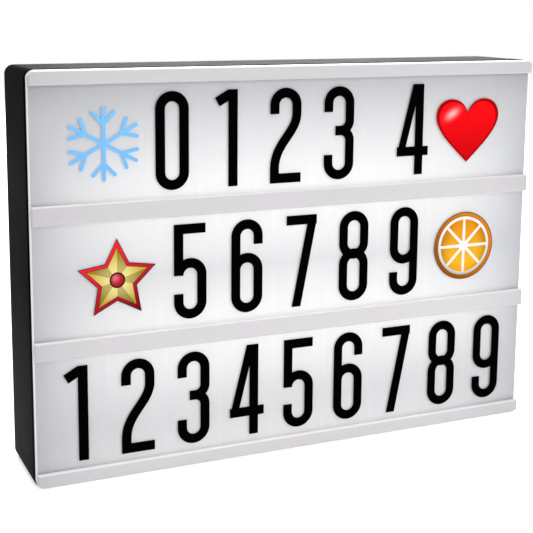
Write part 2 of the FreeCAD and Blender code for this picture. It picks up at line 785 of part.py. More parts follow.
def switch_terminals():
    y_end = y_recess - switch_body_depth
    blades = []
    for side in (-1, 1):
        z = recess_z + side * blade_offset
        blades.append(block(switch_x - blade_width / 2, switch_x + blade_width / 2,
                            y_end - blade_length, y_end, z - blade_thickness / 2,
                            z + blade_thickness / 2))
    return Part.Compound(blades)


def control_board():
    board = block(board_x - board_width / 2, board_x + board_width / 2, y_board_inner, y_board_outer,
                  recess_z - board_height / 2, recess_z + board_height / 2)
    holes = [rod(board_x + side * standoff_spacing / 2, recess_z, y_board_inner - 1.0,
                 y_board_outer + 1.0, board_screw_radius + board_screw_clearance) for side in (-1, 1)]
    return board.cut(holes)


def board_components():
    """A driver chip, a coil and a capacitor on the board's inner face."""
    chip = block(board_x - 4.0, board_x + 1.0, y_board_inner - 1.5, y_board_inner, recess_z - 7.0,
                 recess_z - 3.0)
    coil = block(board_x - 4.0, board_x + 2.0, y_board_inner - 3.0, y_board_inner, recess_z + 1.0,
                 recess_z + 7.0)
    capacitor = rod(board_x + 5.5, recess_z + 6.0, y_board_inner - 6.0, y_board_inner, 2.5)
    return Part.Compound([chip, coil, capacitor])


def power_socket():
    """A small flat power inlet: a metal shell with a tongue, standing on the board."""
    y_mouth = y_recess - socket_set_back
    half_w = socket_width / 2
    half_h = socket_height / 2
    shell = block(socket_x - half_w, socket_x + half_w, y_board_outer, y_mouth, recess_z - half_h,
                  recess_z + half_h)
    y_inner = y_board_outer + (y_mouth - y_board_outer) / 5
    room = block(socket_x - half_w + socket_wall, socket_x + half_w - socket_wall, y_inner,
                 y_mouth + 1.0, recess_z - half_h + socket_wall, recess_z + half_h - socket_wall)
    tongue = block(socket_x - socket_tongue_width / 2, socket_x + socket_tongue_width / 2,
                   y_board_outer, y_mouth - socket_wall, recess_z - socket_tongue_thickness / 2,
                   recess_z + socket_tongue_thickness / 2)
    return fused(shell.cut(room), tongue)


def cross_slot_screw(x, z, y_seat, direction, radius, length, head_radius, head_height):
    """A screw whose head seats at y_seat and whose shank runs along direction (-1 or +1) in Y."""
    y_end = y_seat + direction * length
    y_top = y_seat - direction * head_height
    shank = rod(x, z, *sorted((y_seat, y_end)), radius)
    head = rod(x, z, *sorted((y_seat, y_top)), head_radius)
    slot_y = sorted((y_top + direction * cross_slot_depth, y_top - direction))
    arm = head_radius * 0.6
    half = cross_slot_width / 2
    return fused(shank, head).cut([block(x - arm, x + arm, *slot_y, z - half, z + half),
                                   block(x - half, x + half, *slot_y, z - arm, z + arm)])


def housing_screws():
    return Part.Compound([cross_slot_screw(x, z, y_well_floor, -1, screw_radius, screw_length,
                                           screw_head_radius, screw_head_height)
                          for x, z in well_places()])


def board_screws():
    return Part.Compound([cross_slot_screw(board_x + side * standoff_spacing / 2, recess_z,
                                           y_board_inner, 1, board_screw_radius, board_screw_length,
                                           board_screw_head_radius, board_screw_head_height)
                          for side in (-1, 1)])


def lead(points):
    """A round lead along straight runs joined by tangent arcs, each as large as its runs allow."""
    points = [Vector(*p) for p in points]
    edges = []
    here = points[0]
    for a, b, c in zip(points, points[1:], points[2:]):
        back, ahead = (a - b), (c - b)
        shorter = min(back.Length, ahead.Length)
        back.normalize()
        ahead.normalize()
        turn = math.pi - back.getAngle(ahead)
        cut_back = bend_share * shorter
        start, end = b + back * cut_back, b + ahead * cut_back
        radius = cut_back / math.tan(turn / 2)
        to_centre = back + ahead
        to_centre.normalize()
        centre = b + to_centre * (radius / math.cos(turn / 2))
        edges.append(Part.LineSegment(here, start).toShape())
        edges.append(Part.Arc(start, centre - to_centre * radius, end).toShape())
        here = end
    edges.append(Part.LineSegment(here, points[-1]).toShape())
    path = Part.Wire(edges)
    along = (points[1] - points[0]).normalize()
    spoke = along.cross(Vector(0, 0, 1) if abs(along.z) < 0.9 else Vector(1, 0, 0)).normalize()
    corners = []
    for k in range(lead_sides + 1):
        turned = FreeCAD.Rotation(along, 360.0 * k / lead_sides).multVec(spoke)
        corners.append(points[0] + turned * lead_radius)
    section = Part.makePolygon(corners)
    tube = path.makePipeShell([section], True, False)
    section_area = Part.Face(section).Area
    print("lead", round(path.Length, 1), "volume share", round(tube.Volume / (section_area * path.Length), 4))
    return tube


def battery_lead_black():
    """From the first row's tag, along the bay's lower wall, down to the control board."""
    x_tag = -bay_length / 2 - bay_wall - tag_reach
    y_low = hinge_y - hook_swing - ledge_wall - lead_radius - lead_gap
    z_low = bay_z - bay_height / 2 - bay_wall - lead_radius - lead_gap
    x_end = board_x - board_width / 4
    y_end = (y_board_inner + y_board_outer) / 2
    return lead([(x_tag, y_cell, cell_z(0)), (x_tag - lead_turn, y_cell, cell_z(0)),
                 (x_tag - lead_turn, y_low, z_low), (bay_length / 2, y_low, z_low),
                 (x_end - lead_sweep, y_low, z_low - lead_sweep), (x_end, y_end, z_low - 2 * lead_sweep),
                 (x_end, y_end, recess_z + board_height / 2)])


def battery_lead_red():
    """From the last row's tag down to the switch's upper blade."""
    x_tag = bay_length / 2 + bay_wall + tag_reach
    y_blade = y_recess - switch_body_depth - blade_length / 2
    z_blade = recess_z + blade_offset + blade_thickness / 2
    z_top = cell_z(cell_rows - 1)
    return lead([(x_tag, y_cell, z_top), (x_tag + lead_sweep, y_cell, z_top),
                 (switch_x, y_blade, z_top - 2 * lead_sweep), (switch_x, y_blade, z_blade)])


def switch_lead():
    """From the switch's lower blade round to the board's lower edge."""
    y_blade = y_recess - switch_body_depth - blade_length / 2
    z_blade = recess_z - blade_offset - blade_thickness / 2
    y_end = (y_board_inner + y_board_outer) / 2
    x_end = board_x - board_width / 4
    z_end = recess_z - board_height / 2
    return lead([(switch_x, y_blade, z_blade), (switch_x, y_blade, z_end - lead_turn),
                 (x_end, y_end, z_end - lead_turn), (x_end, y_end, z_end)])


def lower_strip_lead():
    """From the board's upper edge to the lower strip's outer pad."""
    x = board_x + board_width / 4
    x_pad = strip_length / 2 - pad_inset
    y_end = (y_board_inner + y_board_outer) / 2
    z_board = recess_z + board_height / 2
    return lead([(x, y_end, z_board), (x, y_end, (z_board + lower_strip_z) / 2),
                 (x_pad, y_strip - lead_rise, lower_strip_z), (x_pad, y_strip, lower_strip_z)])


def upper_strip_lead():
    """From the lower strip's inner pad, up beside the strips' ends, to the upper strip's."""
    x0 = strip_length / 2 - pad_inset - pad_pitch
    x1 = strip_length / 2 + lead_side_room
    y_out = y_strip - lead_rise
    y_on = y_sheet - lead_radius - lead_gap
    z0, z1 = lower_strip_z, upper_strip_z
    return lead([(x0, y_strip, z0), (x0, y_out, z0), (x1, y_out, z0 + lead_rise),
                 (x1, y_on, z0 + lead_settle), (x1, y_on, z1 - lead_settle),
                 (x1, y_out, z1 - lead_rise), (x0, y_out, z1), (x0, y_strip, z1)])


parts = {
    "rear_housing": rear_housing(),
    "front_panel": front_panel(),
    "top_rail": end_rail(front_top, -1),
    "upper_middle_rail": mid_rail(upper_mid_z),
    "lower_middle_rail": mid_rail(lower_mid_z),
    "bottom_rail": end_rail(front_bottom, 1),
    "reflector_sheet": reflector_sheet(),
    "led_strip_upper": led_strip(upper_strip_z),
    "led_strip_lower": led_strip(lower_strip_z),
    "led_chips_upper": led_chips(upper_strip_z),
    "led_chips_lower": led_chips(lower_strip_z),
    "contact_plates": contact_plates(),
    "battery_springs": battery_springs(),
    "battery_door": battery_door(),
    "switch_body": switch_body(),
    "switch_rocker": switch_rocker(),
    "switch_terminals": switch_terminals(),
    "control_board": control_board(),
    "board_components": board_components(),
    "power_socket": power_socket(),
    "housing_screws": housing_screws(),
    "board_screws": board_screws(),
    "battery_lead_black": battery_lead_black(),
    "battery_lead_red": battery_lead_red(),
    "switch_lead": switch_lead(),
    "lower_strip_lead": lower_strip_lead(),
    "upper_strip_lead": upper_strip_lead(),
}
for row in range(cell_rows):
    for column in range(cell_columns):
        parts[f"aa_cell_{row * cell_columns + column + 1}"] = aa_cell(row, column)
rows = {"top": top_row, "middle": middle_row, "bottom": bottom_row}
for (name, row), z_low in zip(rows.items(), row_bottoms):
    for k, plate in enumerate(tile_row(row, z_low)):
        parts[f"{name}_row_tile_{k + 1}"] = plate

os.makedirs("parts", exist_ok=True)
for name, shape in parts.items():
    print(name, len(shape.Solids), "valid" if shape.isValid() else "NOT VALID", round(shape.Volume, 1))
    shape.exportStep(f"parts/{name}.step")
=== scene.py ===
import math

import bmesh
import bpy
from mathutils import Matrix, Vector
from mathutils.geometry import delaunay_2d_cdt


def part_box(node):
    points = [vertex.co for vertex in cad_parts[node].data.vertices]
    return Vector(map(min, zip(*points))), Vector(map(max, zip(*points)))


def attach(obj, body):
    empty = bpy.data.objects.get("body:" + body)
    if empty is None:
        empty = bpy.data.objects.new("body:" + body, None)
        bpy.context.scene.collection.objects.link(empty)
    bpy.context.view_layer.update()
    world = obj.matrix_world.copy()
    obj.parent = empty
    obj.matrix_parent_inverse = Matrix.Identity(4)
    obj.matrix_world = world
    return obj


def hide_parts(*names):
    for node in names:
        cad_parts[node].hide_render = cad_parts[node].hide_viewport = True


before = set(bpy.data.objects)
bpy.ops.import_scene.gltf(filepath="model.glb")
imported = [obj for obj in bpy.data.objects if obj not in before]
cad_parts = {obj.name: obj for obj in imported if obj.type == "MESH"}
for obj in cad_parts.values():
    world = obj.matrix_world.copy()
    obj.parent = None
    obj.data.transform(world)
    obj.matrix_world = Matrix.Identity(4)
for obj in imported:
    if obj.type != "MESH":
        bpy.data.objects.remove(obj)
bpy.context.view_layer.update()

bl_info = {
    "name": "Cinema Light Box",
    "version": (1, 0, 0),
    "blender": (4, 5, 0),
    "location": "3D View > Sidebar > Light Box",
    "description": "Finishes, printed signs and studio for a cinema light box",
    "category": "Add Mesh",
}

ROWS = {
    "top": ["snowflake", "0", "1", "2", "3", "4", "heart"],
    "middle": ["star", "5", "6", "7", "8", "9", "citrus"],
    "bottom": ["1", "2", "3", "4", "5", "6", "7", "8", "9"],
}
TILES = {f"{row}_row_tile_{k + 1}": sign
         for row, signs in ROWS.items() for k, sign in enumerate(signs)}

BLACK = (0.0, 0.0, 0.0, 1.0)
WHITE = (1.0, 1.0, 1.0, 1.0)

EDGE_WALL = 0.0006              # how far in from its sides the panel's bevelled edge reaches
BEVEL_TILT = 0.4                # a rail's face that looks up or down by more is a bevel

JOIN = 1e-7                     # points nearer than this are one
QUARTER_STEPS = 12              # facets in a quarter turn of a printed curve
COAT = 0.0000125                # one coat of ink on a tile
PRINT = 8 * COAT                # thickness of a print in one ink
FLAG_SLOPE = math.radians(29)   # slope of the flag at the top of a numeral 1
HEART_RINGS = 28                # rings of faces from the heart's rim to its middle
STAR_WAIST = 0.50               # how far out a star's inner corners lie, as a share of its points
SEGMENTS = 8                    # segments of the citrus wheel

CELLS = [f"aa_cell_{k + 1}" for k in range(6)]
CELL_ROWS = 3                   # rows of cells, with one spring each
CAP_METAL = 0.0019              # length of bare metal at a cell's cap
FOOT_METAL = 0.0004             # and at its foot
CELL_BAND = (0.0060, 0.0085)    # where a sleeve's pale band starts and ends, from the cap
CAP_SLICE = 0.0002              # length of the slice that tells a cap from a foot

SPRING_TURNS = 3.5
SPRING_STEPS = 24               # rings of points in one turn of a spring
SPRING_TIP = 0.66               # width of a spring's tip, as a share of its foot
WIRE_SIDES = 10


def tiles_with(sign):
    """The tiles that carry a sign, by name."""
    return [tile for tile, carried in TILES.items() if carried == sign]


# ---- what a user may change ----

def length(name, description, default):
    return bpy.props.FloatProperty(name=name, description=description, default=default,
                                   unit="LENGTH")


def angle(name, description, degrees):
    return bpy.props.FloatProperty(name=name, description=description,
                                   default=math.radians(degrees), subtype="ANGLE")


def share(name, description, default):
    return bpy.props.FloatProperty(name=name, description=description, default=default,
                                   subtype="FACTOR", min=0.0, max=1.0)


def colour(name, description, default):
    return bpy.props.FloatVectorProperty(name=name, description=description, default=default,
                                         subtype="COLOR", size=3, min=0.0, max=1.0)


class LightBoxPrints(bpy.types.PropertyGroup):
    """Sizes and colours of the signs printed on the tiles."""
    numeral_height: length("Numeral height", "Height of a printed numeral", 0.0525)
    numeral_width: length("Numeral width", "Width of a printed numeral", 0.0187)
    stroke: length("Stroke", "Width of a numeral's strokes", 0.0054)
    ink: colour("Ink", "Colour of the numerals", (0.001, 0.001, 0.001))
    snow_radius: length("Snowflake radius", "Length of one upright arm of the snowflake", 0.0196)
    snow_spread: length("Snowflake spread", "Width that the snowflake gains on each side", 0.0014)
    snow_stroke: length("Snowflake stroke", "Width of the snowflake's arms", 0.0019)
    snow_blue: colour("Snowflake blue", "Colour of the snowflake", (0.165, 0.425, 0.76))
    heart_width: length("Heart width", "Width of the heart", 0.043)
    heart_height: length("Heart height", "Height of the heart", 0.0375)
    heart_drop: length("Heart drop", "How far the heart sits below its tile's middle", 0.002)
    heart_red: colour("Heart red", "Main colour of the heart", (0.72, 0.004, 0.007))
    star_radius: length("Star radius", "Radius of the star's points", 0.0225)
    star_drop: length("Star drop", "How far the star sits below its tile's middle", 0.001)
    star_gold: colour("Star gold", "Gold of the star's facets", (0.50, 0.36, 0.035))
    star_red: colour("Star red", "Border and middle of the star", (0.56, 0.016, 0.034))
    citrus_radius: length("Citrus radius", "Radius of the citrus wheel", 0.0205)
    citrus_amber: colour("Citrus amber", "Colour of the citrus wheel's rind", (0.50, 0.145, 0.006))
    citrus_yellow: colour("Citrus yellow", "Brightest colour of the flesh", (0.70, 0.38, 0.02))


class LightBoxGlow(bpy.types.PropertyGroup):
    """How the lit panel's brightness falls away from the two lamps behind it."""
    panel_white: colour("Panel white", "Colour of the unlit panel", (0.43, 0.435, 0.462))
    lamp_light: share("Light at the lamps", "Light in front of a lamp", 0.475)
    lamp_height: length("Lamp height", "How far a lamp's light spreads up and down", 0.050)
    edge_light: share("Light at the rim", "Light that leaves by the panel's side edges", 0.34)
    foot: share("Light at the foot", "Light added at the panel's foot", 0.225)
    foot_height: length("Foot height", "How far up the light at the foot reaches", 0.018)
    head_height: length("Head height", "How far down the shade at the panel's head reaches", 0.012)
    side_fade: length("Side fade", "How far in from the sides the light grows", 0.032)
    warmth: colour("Lamp colour", "Colour of the light that comes through", (1.0, 0.993, 0.94))


class LightBoxFinish(bpy.types.PropertyGroup):
    """Colours of the moulded pieces."""
    housing: colour("Housing", "Colour of the black moulded pieces", (0.012, 0.012, 0.012))
    rail: colour("Rails", "Colour of the pale rails", (0.54, 0.522, 0.543))
    bevel_light: share("Bevel light", "Light that comes through the rails' upper bevels", 0.14)
    film: share("Film", "How much the clear tiles show", 0.012)
    cell: colour("Cell sleeve", "Colour of the cells' sleeves", (0.05, 0.11, 0.20))
    spring_wire: length("Spring wire", "Thickness of the battery springs' wire", 0.0007)


class LightBoxStudio(bpy.types.PropertyGroup):
    """Camera and floor."""
    eye: bpy.props.FloatVectorProperty(name="Eye", description="Where the camera stands",
                                       default=(-0.29176, -0.63085, 0.26433),
                                       subtype="TRANSLATION", size=3)
    heading: angle("Heading", "Turn of the view to the right", 25.365)
    dip: angle("Dip", "How far the view points down", 9.978)
    tilt: angle("Tilt", "Turn of the frame about the view", 0.678)
    lens: bpy.props.FloatProperty(name="Lens", default=82.75, subtype="DISTANCE_CAMERA",
                                  description="Focal length in millimetres on a 36 mm frame")
    shift_x: share("Shift X", "Sideways shift of the frame, to the left", 0.05)
    shift_y: share("Shift Y", "Downward shift of the frame", 0.13)
    floor_size: length("Floor size", "Side of the square floor", 6.0)


class LightBoxSettings(bpy.types.PropertyGroup):
    """All settings of the light box."""
    prints: bpy.props.PointerProperty(type=LightBoxPrints)
    glow: bpy.props.PointerProperty(type=LightBoxGlow)
    finish: bpy.props.PointerProperty(type=LightBoxFinish)
    studio: bpy.props.PointerProperty(type=LightBoxStudio)


# ---- shader maths ----

class Wire:
    """One output socket. Arithmetic on wires and numbers adds Math nodes."""

    def __init__(self, graph, socket):
        self.graph = graph
        self.socket = socket

    def _math(self, operation, left, right=0.0):
        return self.graph.node("ShaderNodeMath", {"operation": operation}, {0: left, 1: right})

    def __add__(self, other):
        return self._math("ADD", self, other)

    def __sub__(self, other):
        return self._math("SUBTRACT", self, other)

    def __rsub__(self, other):
        return self._math("SUBTRACT", other, self)

    def __mul__(self, other):
        return self._math("MULTIPLY", self, other)

    def __truediv__(self, other):
        return self._math("DIVIDE", self, other)

    def __neg__(self):
        return self._math("MULTIPLY", self, -1.0)

    def __abs__(self):
        return self._math("ABSOLUTE", self)

    def __pow__(self, other):
        return self._math("POWER", self, other)

    def __lt__(self, other):
        return self._math("LESS_THAN", self, other)

    def __gt__(self, other):
        return self._math("GREATER_THAN", self, other)

    __radd__ = __add__
    __rmul__ = __mul__

    def exp(self):
        return self._math("EXPONENT", self)

    def sqrt(self):
        return self._math("SQRT", self)

    def least(self, other):
        return self._math("MINIMUM", self, other)

    def most(self, other):
        return self._math("MAXIMUM", self, other)

    def held(self):
        """Kept between 0 and 1."""
        return self.least(1.0).most(0.0)

    def bell(self, middle, width):
        """1 at middle, falling away on both sides over width."""
        offset = (self - middle) / width
        return (-(offset * offset)).exp()


class Graph:
    """The nodes of a material or a world."""

    def __init__(self, owner):
        owner.use_nodes = True
        self.tree = owner.node_tree
        self.tree.nodes.clear()

    def node(self, kind, settings=None, sockets=None, out=0):
        """Adds a node, sets it up, links or fills its sockets, and returns an output, if any."""
        made = self.tree.nodes.new(kind)
        for key, value in (settings or {}).items():
            setattr(made, key, value)
        for key, value in (sockets or {}).items():
            if isinstance(value, Wire):
                self.tree.links.new(value.socket, made.inputs[key])
            else:
                made.inputs[key].default_value = value
        return Wire(self, made.outputs[out]) if made.outputs else None

    def seen(self):
        """1 for camera rays and for mirrored and refracted ones, which show a surface, else 0."""
        direct, mirrored, refracted = [self.node("ShaderNodeLightPath", out=f"Is {ray} Ray")
                                       for ray in ("Camera", "Glossy", "Transmission")]
        return direct.most(mirrored).most(refracted)


class Shader(Graph):
    """The nodes of one material, which end in its Principled shader."""

    def __init__(self, name):
        self.material = bpy.data.materials.new(name)
        super().__init__(self.material)

    def place(self):
        """A point's place on the object, in metres."""
        return self.node("ShaderNodeTexCoord", out="Object")

    def axes(self):
        """The place as its three numbers."""
        place = self.place()
        return [self.node("ShaderNodeSeparateXYZ", None, {0: place}, out=k) for k in range(3)]

    def offsets(self, middle):
        """How far a point lies right of, above and away from a middle (x, z)."""
        x, _, z = self.axes()
        right = x - middle[0]
        up = z - middle[1]
        return right, up, (right * right + up * up).sqrt()

    def noise(self, grain, detail=2.0, stretch=None):
        """Noise of a grain size in metres, from 0 to 1; stretch scales the place by axis first."""
        place = self.place()
        if stretch:
            place = self.node("ShaderNodeVectorMath", {"operation": "MULTIPLY"},
                              {0: place, 1: stretch})
        return self.node("ShaderNodeTexNoise", None,
                         {"Vector": place, "Scale": 1.0 / grain, "Detail": detail})

    def mix(self, factor, first, second):
        """Two colours mixed by a factor."""
        return self.node("ShaderNodeMix", {"data_type": "RGBA"},
                         {0: factor, 6: first, 7: second}, out=2)

    def shades(self, factor, rgb, first, second):
        """One colour at two strengths, mixed by a factor."""
        return self.mix(factor, solid(rgb, first), solid(rgb, second))

    def bump(self, height, distance):
        return self.node("ShaderNodeBump", None,
                         {"Height": height, "Distance": distance, "Strength": 1.0})

    def finish(self, **sockets):
        """Ends the nodes in a Principled shader; keys name its sockets, with _ for a space."""
        named = {key.replace("_", " "): value for key, value in sockets.items()}
        surface = self.node("ShaderNodeBsdfPrincipled", None, named)
        self.node("ShaderNodeOutputMaterial", None, {"Surface": surface})
        return self.material


def solid(rgb, strength=1.0):
    """A colour with full alpha."""
    return (*[channel * strength for channel in tuple(rgb)[:3]], 1.0)


def about(middle, spread, noise):
    """A value that wanders about its middle, over a spread, as the noise does."""
    return middle - spread / 2 + spread * noise


# ---- finishes ----

def moulded_plastic(name, rgb, roughness, relief=0.00002, specular=0.5, painted_light=None):
    """Plastic from a textured mould: fine grain, and slow changes of sheen and tone."""
    shader = Shader(name)
    texture = shader.noise(0.0007, 3.0)
    cloud = shader.noise(0.03)
    tone = shader.shades(cloud, rgb, 0.85, 1.15)
    # a last step, where given, paints light and shade over the tone
    if painted_light:
        tone = painted_light(shader, tone)
    return shader.finish(Base_Color=tone, Roughness=about(roughness, 0.1, cloud),
                         Specular_IOR_Level=specular, Normal=shader.bump(texture, relief))


def plated_metal(name, rgb, roughness):
    """Rolled and plated sheet or wire: thin streaks along the rolling."""
    shader = Shader(name)
    streaks = shader.noise(0.002, 4.0, (1.0, 1.0, 14.0))
    return shader.finish(Base_Color=shader.shades(streaks, rgb, 0.8, 1.05), Metallic=1.0,
                         Roughness=about(roughness, 0.16, streaks),
                         Normal=shader.bump(streaks, 0.00001))


def lit_panel(name, glow, lamps, half_width, foot, head):
    """Opal panel with two rows of lamps behind it: bright bands that fade to the edges."""
    shader = Shader(name)
    x, _, z = shader.axes()
    bands = z.bell(lamps[0], glow.lamp_height).most(z.bell(lamps[1], glow.lamp_height))
    low = z.bell(foot, glow.foot_height)
    sides = 1.0 - ((abs(x) - half_width) / glow.side_fade).exp()
    rim = (abs(x) > half_width - EDGE_WALL) * glow.edge_light
    light = sides * (glow.lamp_light * bands + glow.foot * low) + rim
    # the shade at the head is a third as deep in the middle as at its ends
    shade = z.bell(head, glow.head_height) * (0.35 + 0.65 * (abs(x) / half_width) ** 2.0)
    speckle = shader.noise(0.0004)
    return shader.finish(Base_Color=shader.shades(shade, glow.panel_white, 1.0, 0.84),
                         Roughness=about(0.45, 0.06, speckle), Specular_IOR_Level=0.3,
                         Emission_Color=shader.mix(light, BLACK, solid(glow.warmth)),
                         Emission_Strength=1.0, Normal=shader.bump(speckle, 0.000004))


def rail_plastic(name, finish, half_width, top):
    """Extruded pale plastic with a faint draw along X. Its bevels glow with painted light from the
    panel.
    """
    shader = Shader(name)
    x, _, z = shader.axes()
    draw = shader.noise(0.0015, 3.0, (0.02, 1.0, 1.0))
    # painted light and shade: lighter towards the foot and darker towards the ends
    low = (1.0 - z / top).held()
    ends = (abs(x) / half_width) ** 6.0
    tone = shader.shades(low, finish.rail, 1.0, 1.24)
    tone = shader.mix(ends * 0.8, tone, solid(finish.rail, 0.86))
    tone = shader.mix(draw * 0.12, tone, solid(finish.rail, 0.82))
    # painted glow on the bevels that face up or down, standing in for the lit panel's light
    # through them
    normal = shader.node("ShaderNodeNewGeometry", out="Normal")
    facing = shader.node("ShaderNodeSeparateXYZ", None, {0: normal}, out="Z")
    upper = (facing > BEVEL_TILT) * finish.bevel_light
    lower = (facing < -BEVEL_TILT) * (0.6 * finish.bevel_light)
    return shader.finish(Base_Color=tone, Roughness=about(0.41, 0.1, draw),
                         Specular_IOR_Level=0.5,
                         Emission_Color=shader.mix(upper + lower, BLACK, WHITE),
                         Emission_Strength=1.0, Normal=shader.bump(draw, 0.00001))


def clear_film(name, film):
    """Clear sheet that shows only as a faint sheen."""
    shader = Shader(name)
    wave = shader.noise(0.05)
    return shader.finish(Base_Color=(0.96, 0.97, 1.0, 1.0), Roughness=about(0.13, 0.06, wave),
                         Alpha=film * about(1.0, 0.6, wave))


def ink_print(name, rgb):
    """Screen print: dense ink with a fine stipple."""
    shader = Shader(name)
    stipple = shader.noise(0.0006)
    return shader.finish(Base_Color=shader.shades(stipple, rgb, 0.9, 1.08),
                         Roughness=about(0.6, 0.08, stipple), Specular_IOR_Level=0.0,
                         Normal=shader.bump(stipple, 0.000003))


def lit_print(name, tone_of, *given, backlight=0.25):
    """Translucent print with light behind it; tone_of makes its colour from what is given."""
    shader = Shader(name)
    tone = tone_of(shader, *given)
    stipple = shader.noise(0.0006)
    return shader.finish(Base_Color=tone, Emission_Color=tone, Emission_Strength=backlight,
                         Roughness=about(0.44, 0.08, stipple), Specular_IOR_Level=0.0,
                         Normal=shader.bump(stipple, 0.000003))


def mottled(shader, grain, dark, light):
    """Two colours in small patches."""
    return shader.mix(shader.noise(grain), solid(dark), solid(light))


def dress(material, *nodes):
    """Gives CAD nodes a finish."""
    for name in nodes:
        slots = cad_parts[name].data.materials
        slots.clear()
        slots.append(material)


# ---- flat shapes for prints: strokes joined into one outline, then given thickness ----

def arc(x, z, radius, start, end):
    """Points on an arc, in degrees from +X towards +Z."""
    steps = max(2, math.ceil(abs(end - start) / 90.0 * QUARTER_STEPS))
    turns = [math.radians(start + (end - start) * k / steps) for k in range(steps + 1)]
    return [(x + radius * math.cos(t), z + radius * math.sin(t)) for t in turns]


def disc(radius):
    """Points round a full circle about (0, 0)."""
    return arc(0, 0, radius, 0, 360)[:-1]


def bend(p0, p1, p2, p3):
    """Points on a cubic curve."""
    made = []
    for k in range(2 * QUARTER_STEPS + 1):
        t = k / (2 * QUARTER_STEPS)
        u = 1.0 - t
        weights = (u ** 3, 3 * u * u * t, 3 * u * t * t, t ** 3)
        made.append(tuple(sum(w * p[i] for w, p in zip(weights, (p0, p1, p2, p3)))
                          for i in (0, 1)))
    return made


def ribbon(points, width):
    """A stroke drawn along points, as one quad to each step; it closes where its ends meet."""
    points = [Vector(p) for p in points]
    points = [p for k, p in enumerate(points) if k == 0 or (p - points[k - 1]).length > JOIN]
    closed = (points[0] - points[-1]).length < JOIN
    if closed:
        points.pop()
    steps = [(q - p).normalized() for p, q in zip(points, points[1:] + points[:1])]
    edges = []
    for k, point in enumerate(points):
        into = steps[k - 1] if closed or k > 0 else steps[0]
        out = steps[k] if closed or k < len(points) - 1 else into
        along = (into + out).normalized()
        normal = Vector((-along.y, along.x)) * (width / 2 / max(0.5, along.dot(into)))
        edges.append((tuple(point + normal), tuple(point - normal)))
    following = edges[1:] + edges[:1] if closed else edges[1:]
    return [[left, next_left, next_right, right]
            for (left, right), (next_left, next_right) in zip(edges, following)]


def finger(root, tip, width):
    """A straight stroke, flat at its root and round at its tip."""
    turn = math.degrees(math.atan2(tip.y - root.y, tip.x - root.x))
    side = Vector((0, width / 2))
    side.rotate(Matrix.Rotation(math.radians(turn), 2))
    return arc(*tip, width / 2, turn - 90, turn + 90) + [tuple(root + side), tuple(root - side)]


def slant(x0, z0, x1, z1, width):
    """A slanting bar cut level at both ends."""
    half = width / 2 * math.hypot(x1 - x0, z1 - z0) / abs(z1 - z0)
    return [(x0 - half, z0), (x0 + half, z0), (x1 + half, z1), (x1 - half, z1)]


def joined(outlines):
    """Overlapping outlines as one flat triangulated region: its points and its faces."""
    points = []
    rings = []
    for outline in outlines:
        ring = [Vector(p) for p in outline]
        area = sum(a.cross(b) for a, b in zip(ring, ring[1:] + ring[:1]))
        if area < 0:
            ring.reverse()
        rings.append(list(range(len(points), len(points) + len(ring))))
        points.extend(ring)
    found, _, faces, _, _, sources = delaunay_2d_cdt(points, [], rings, 0, JOIN)
    return found, [face for face, source in zip(faces, sources) if source]


def add_object(name, data):
    """A new object in the scene."""
    made = bpy.data.objects.new(name, data)
    bpy.context.scene.collection.objects.link(made)
    return made


def mesh_object(name, mesh, materials):
    """A new object of a bmesh, with its finishes."""
    data = bpy.data.meshes.new(name)
    mesh.to_mesh(data)
    mesh.free()
    for material in materials:
        data.materials.append(material)
    return add_object(name, data)


def piece_from(name, mesh, body, materials):
    """Makes a piece of a bmesh, and lets it ride on a body."""
    piece = mesh_object(name, mesh, materials)
    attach(piece, body)
    return piece


def printed(outlines, middle, front, thickness, mesh=None, ink=0, rise=0.0):
    """Adds outlines, drawn about middle (x, z), to a mesh as a layer whose back lies at front,
    or in front of it by rise. Its faces take one of the piece's inks."""
    mesh = mesh or bmesh.new()
    points, faces = joined(outlines)
    y_back = front - rise
    y_face = y_back - thickness
    backs = [mesh.verts.new((middle[0] + p.x, y_back, middle[1] + p.y)) for p in points]
    fronts = [mesh.verts.new((middle[0] + p.x, y_face, middle[1] + p.y)) for p in points]
    edges = [(a, b) for face in faces for a, b in zip(face, face[1:] + face[:1])]
    shared = set(edges)
    made = [mesh.faces.new([fronts[k] for k in face]) for face in faces]
    made += [mesh.faces.new([backs[k] for k in reversed(face)]) for face in faces]
    made += [mesh.faces.new([fronts[b], fronts[a], backs[a], backs[b]])
             for a, b in edges if (b, a) not in shared]
    for face in made:
        face.material_index = ink
    return mesh


def layered(base, coats, layers, middle, front):
    """A print of thin coats: a base in the first ink, some coats thick, and over it layers of
    one coat each, given as outline, ink and number of coats that lie under it."""
    mesh = printed([base], middle, front, coats * COAT)
    for outline, ink, under in layers:
        printed([outline], middle, front, COAT, mesh, ink, under * COAT)
    return mesh


def tile_face(tile, drop=0.0):
    """A tile's middle (x, z), lowered by a drop, and the Y of its front."""
    low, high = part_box(tile)
    return ((low.x + high.x) / 2, (low.z + high.z) / 2 - drop), low.y


# ---- numerals ----

def loop(radius, low, high):
    """A closed upright track with round ends."""
    return (arc(0, high - radius, radius, 0, 180) + arc(0, low + radius, radius, 180, 360)
            + [(radius, high - radius)])


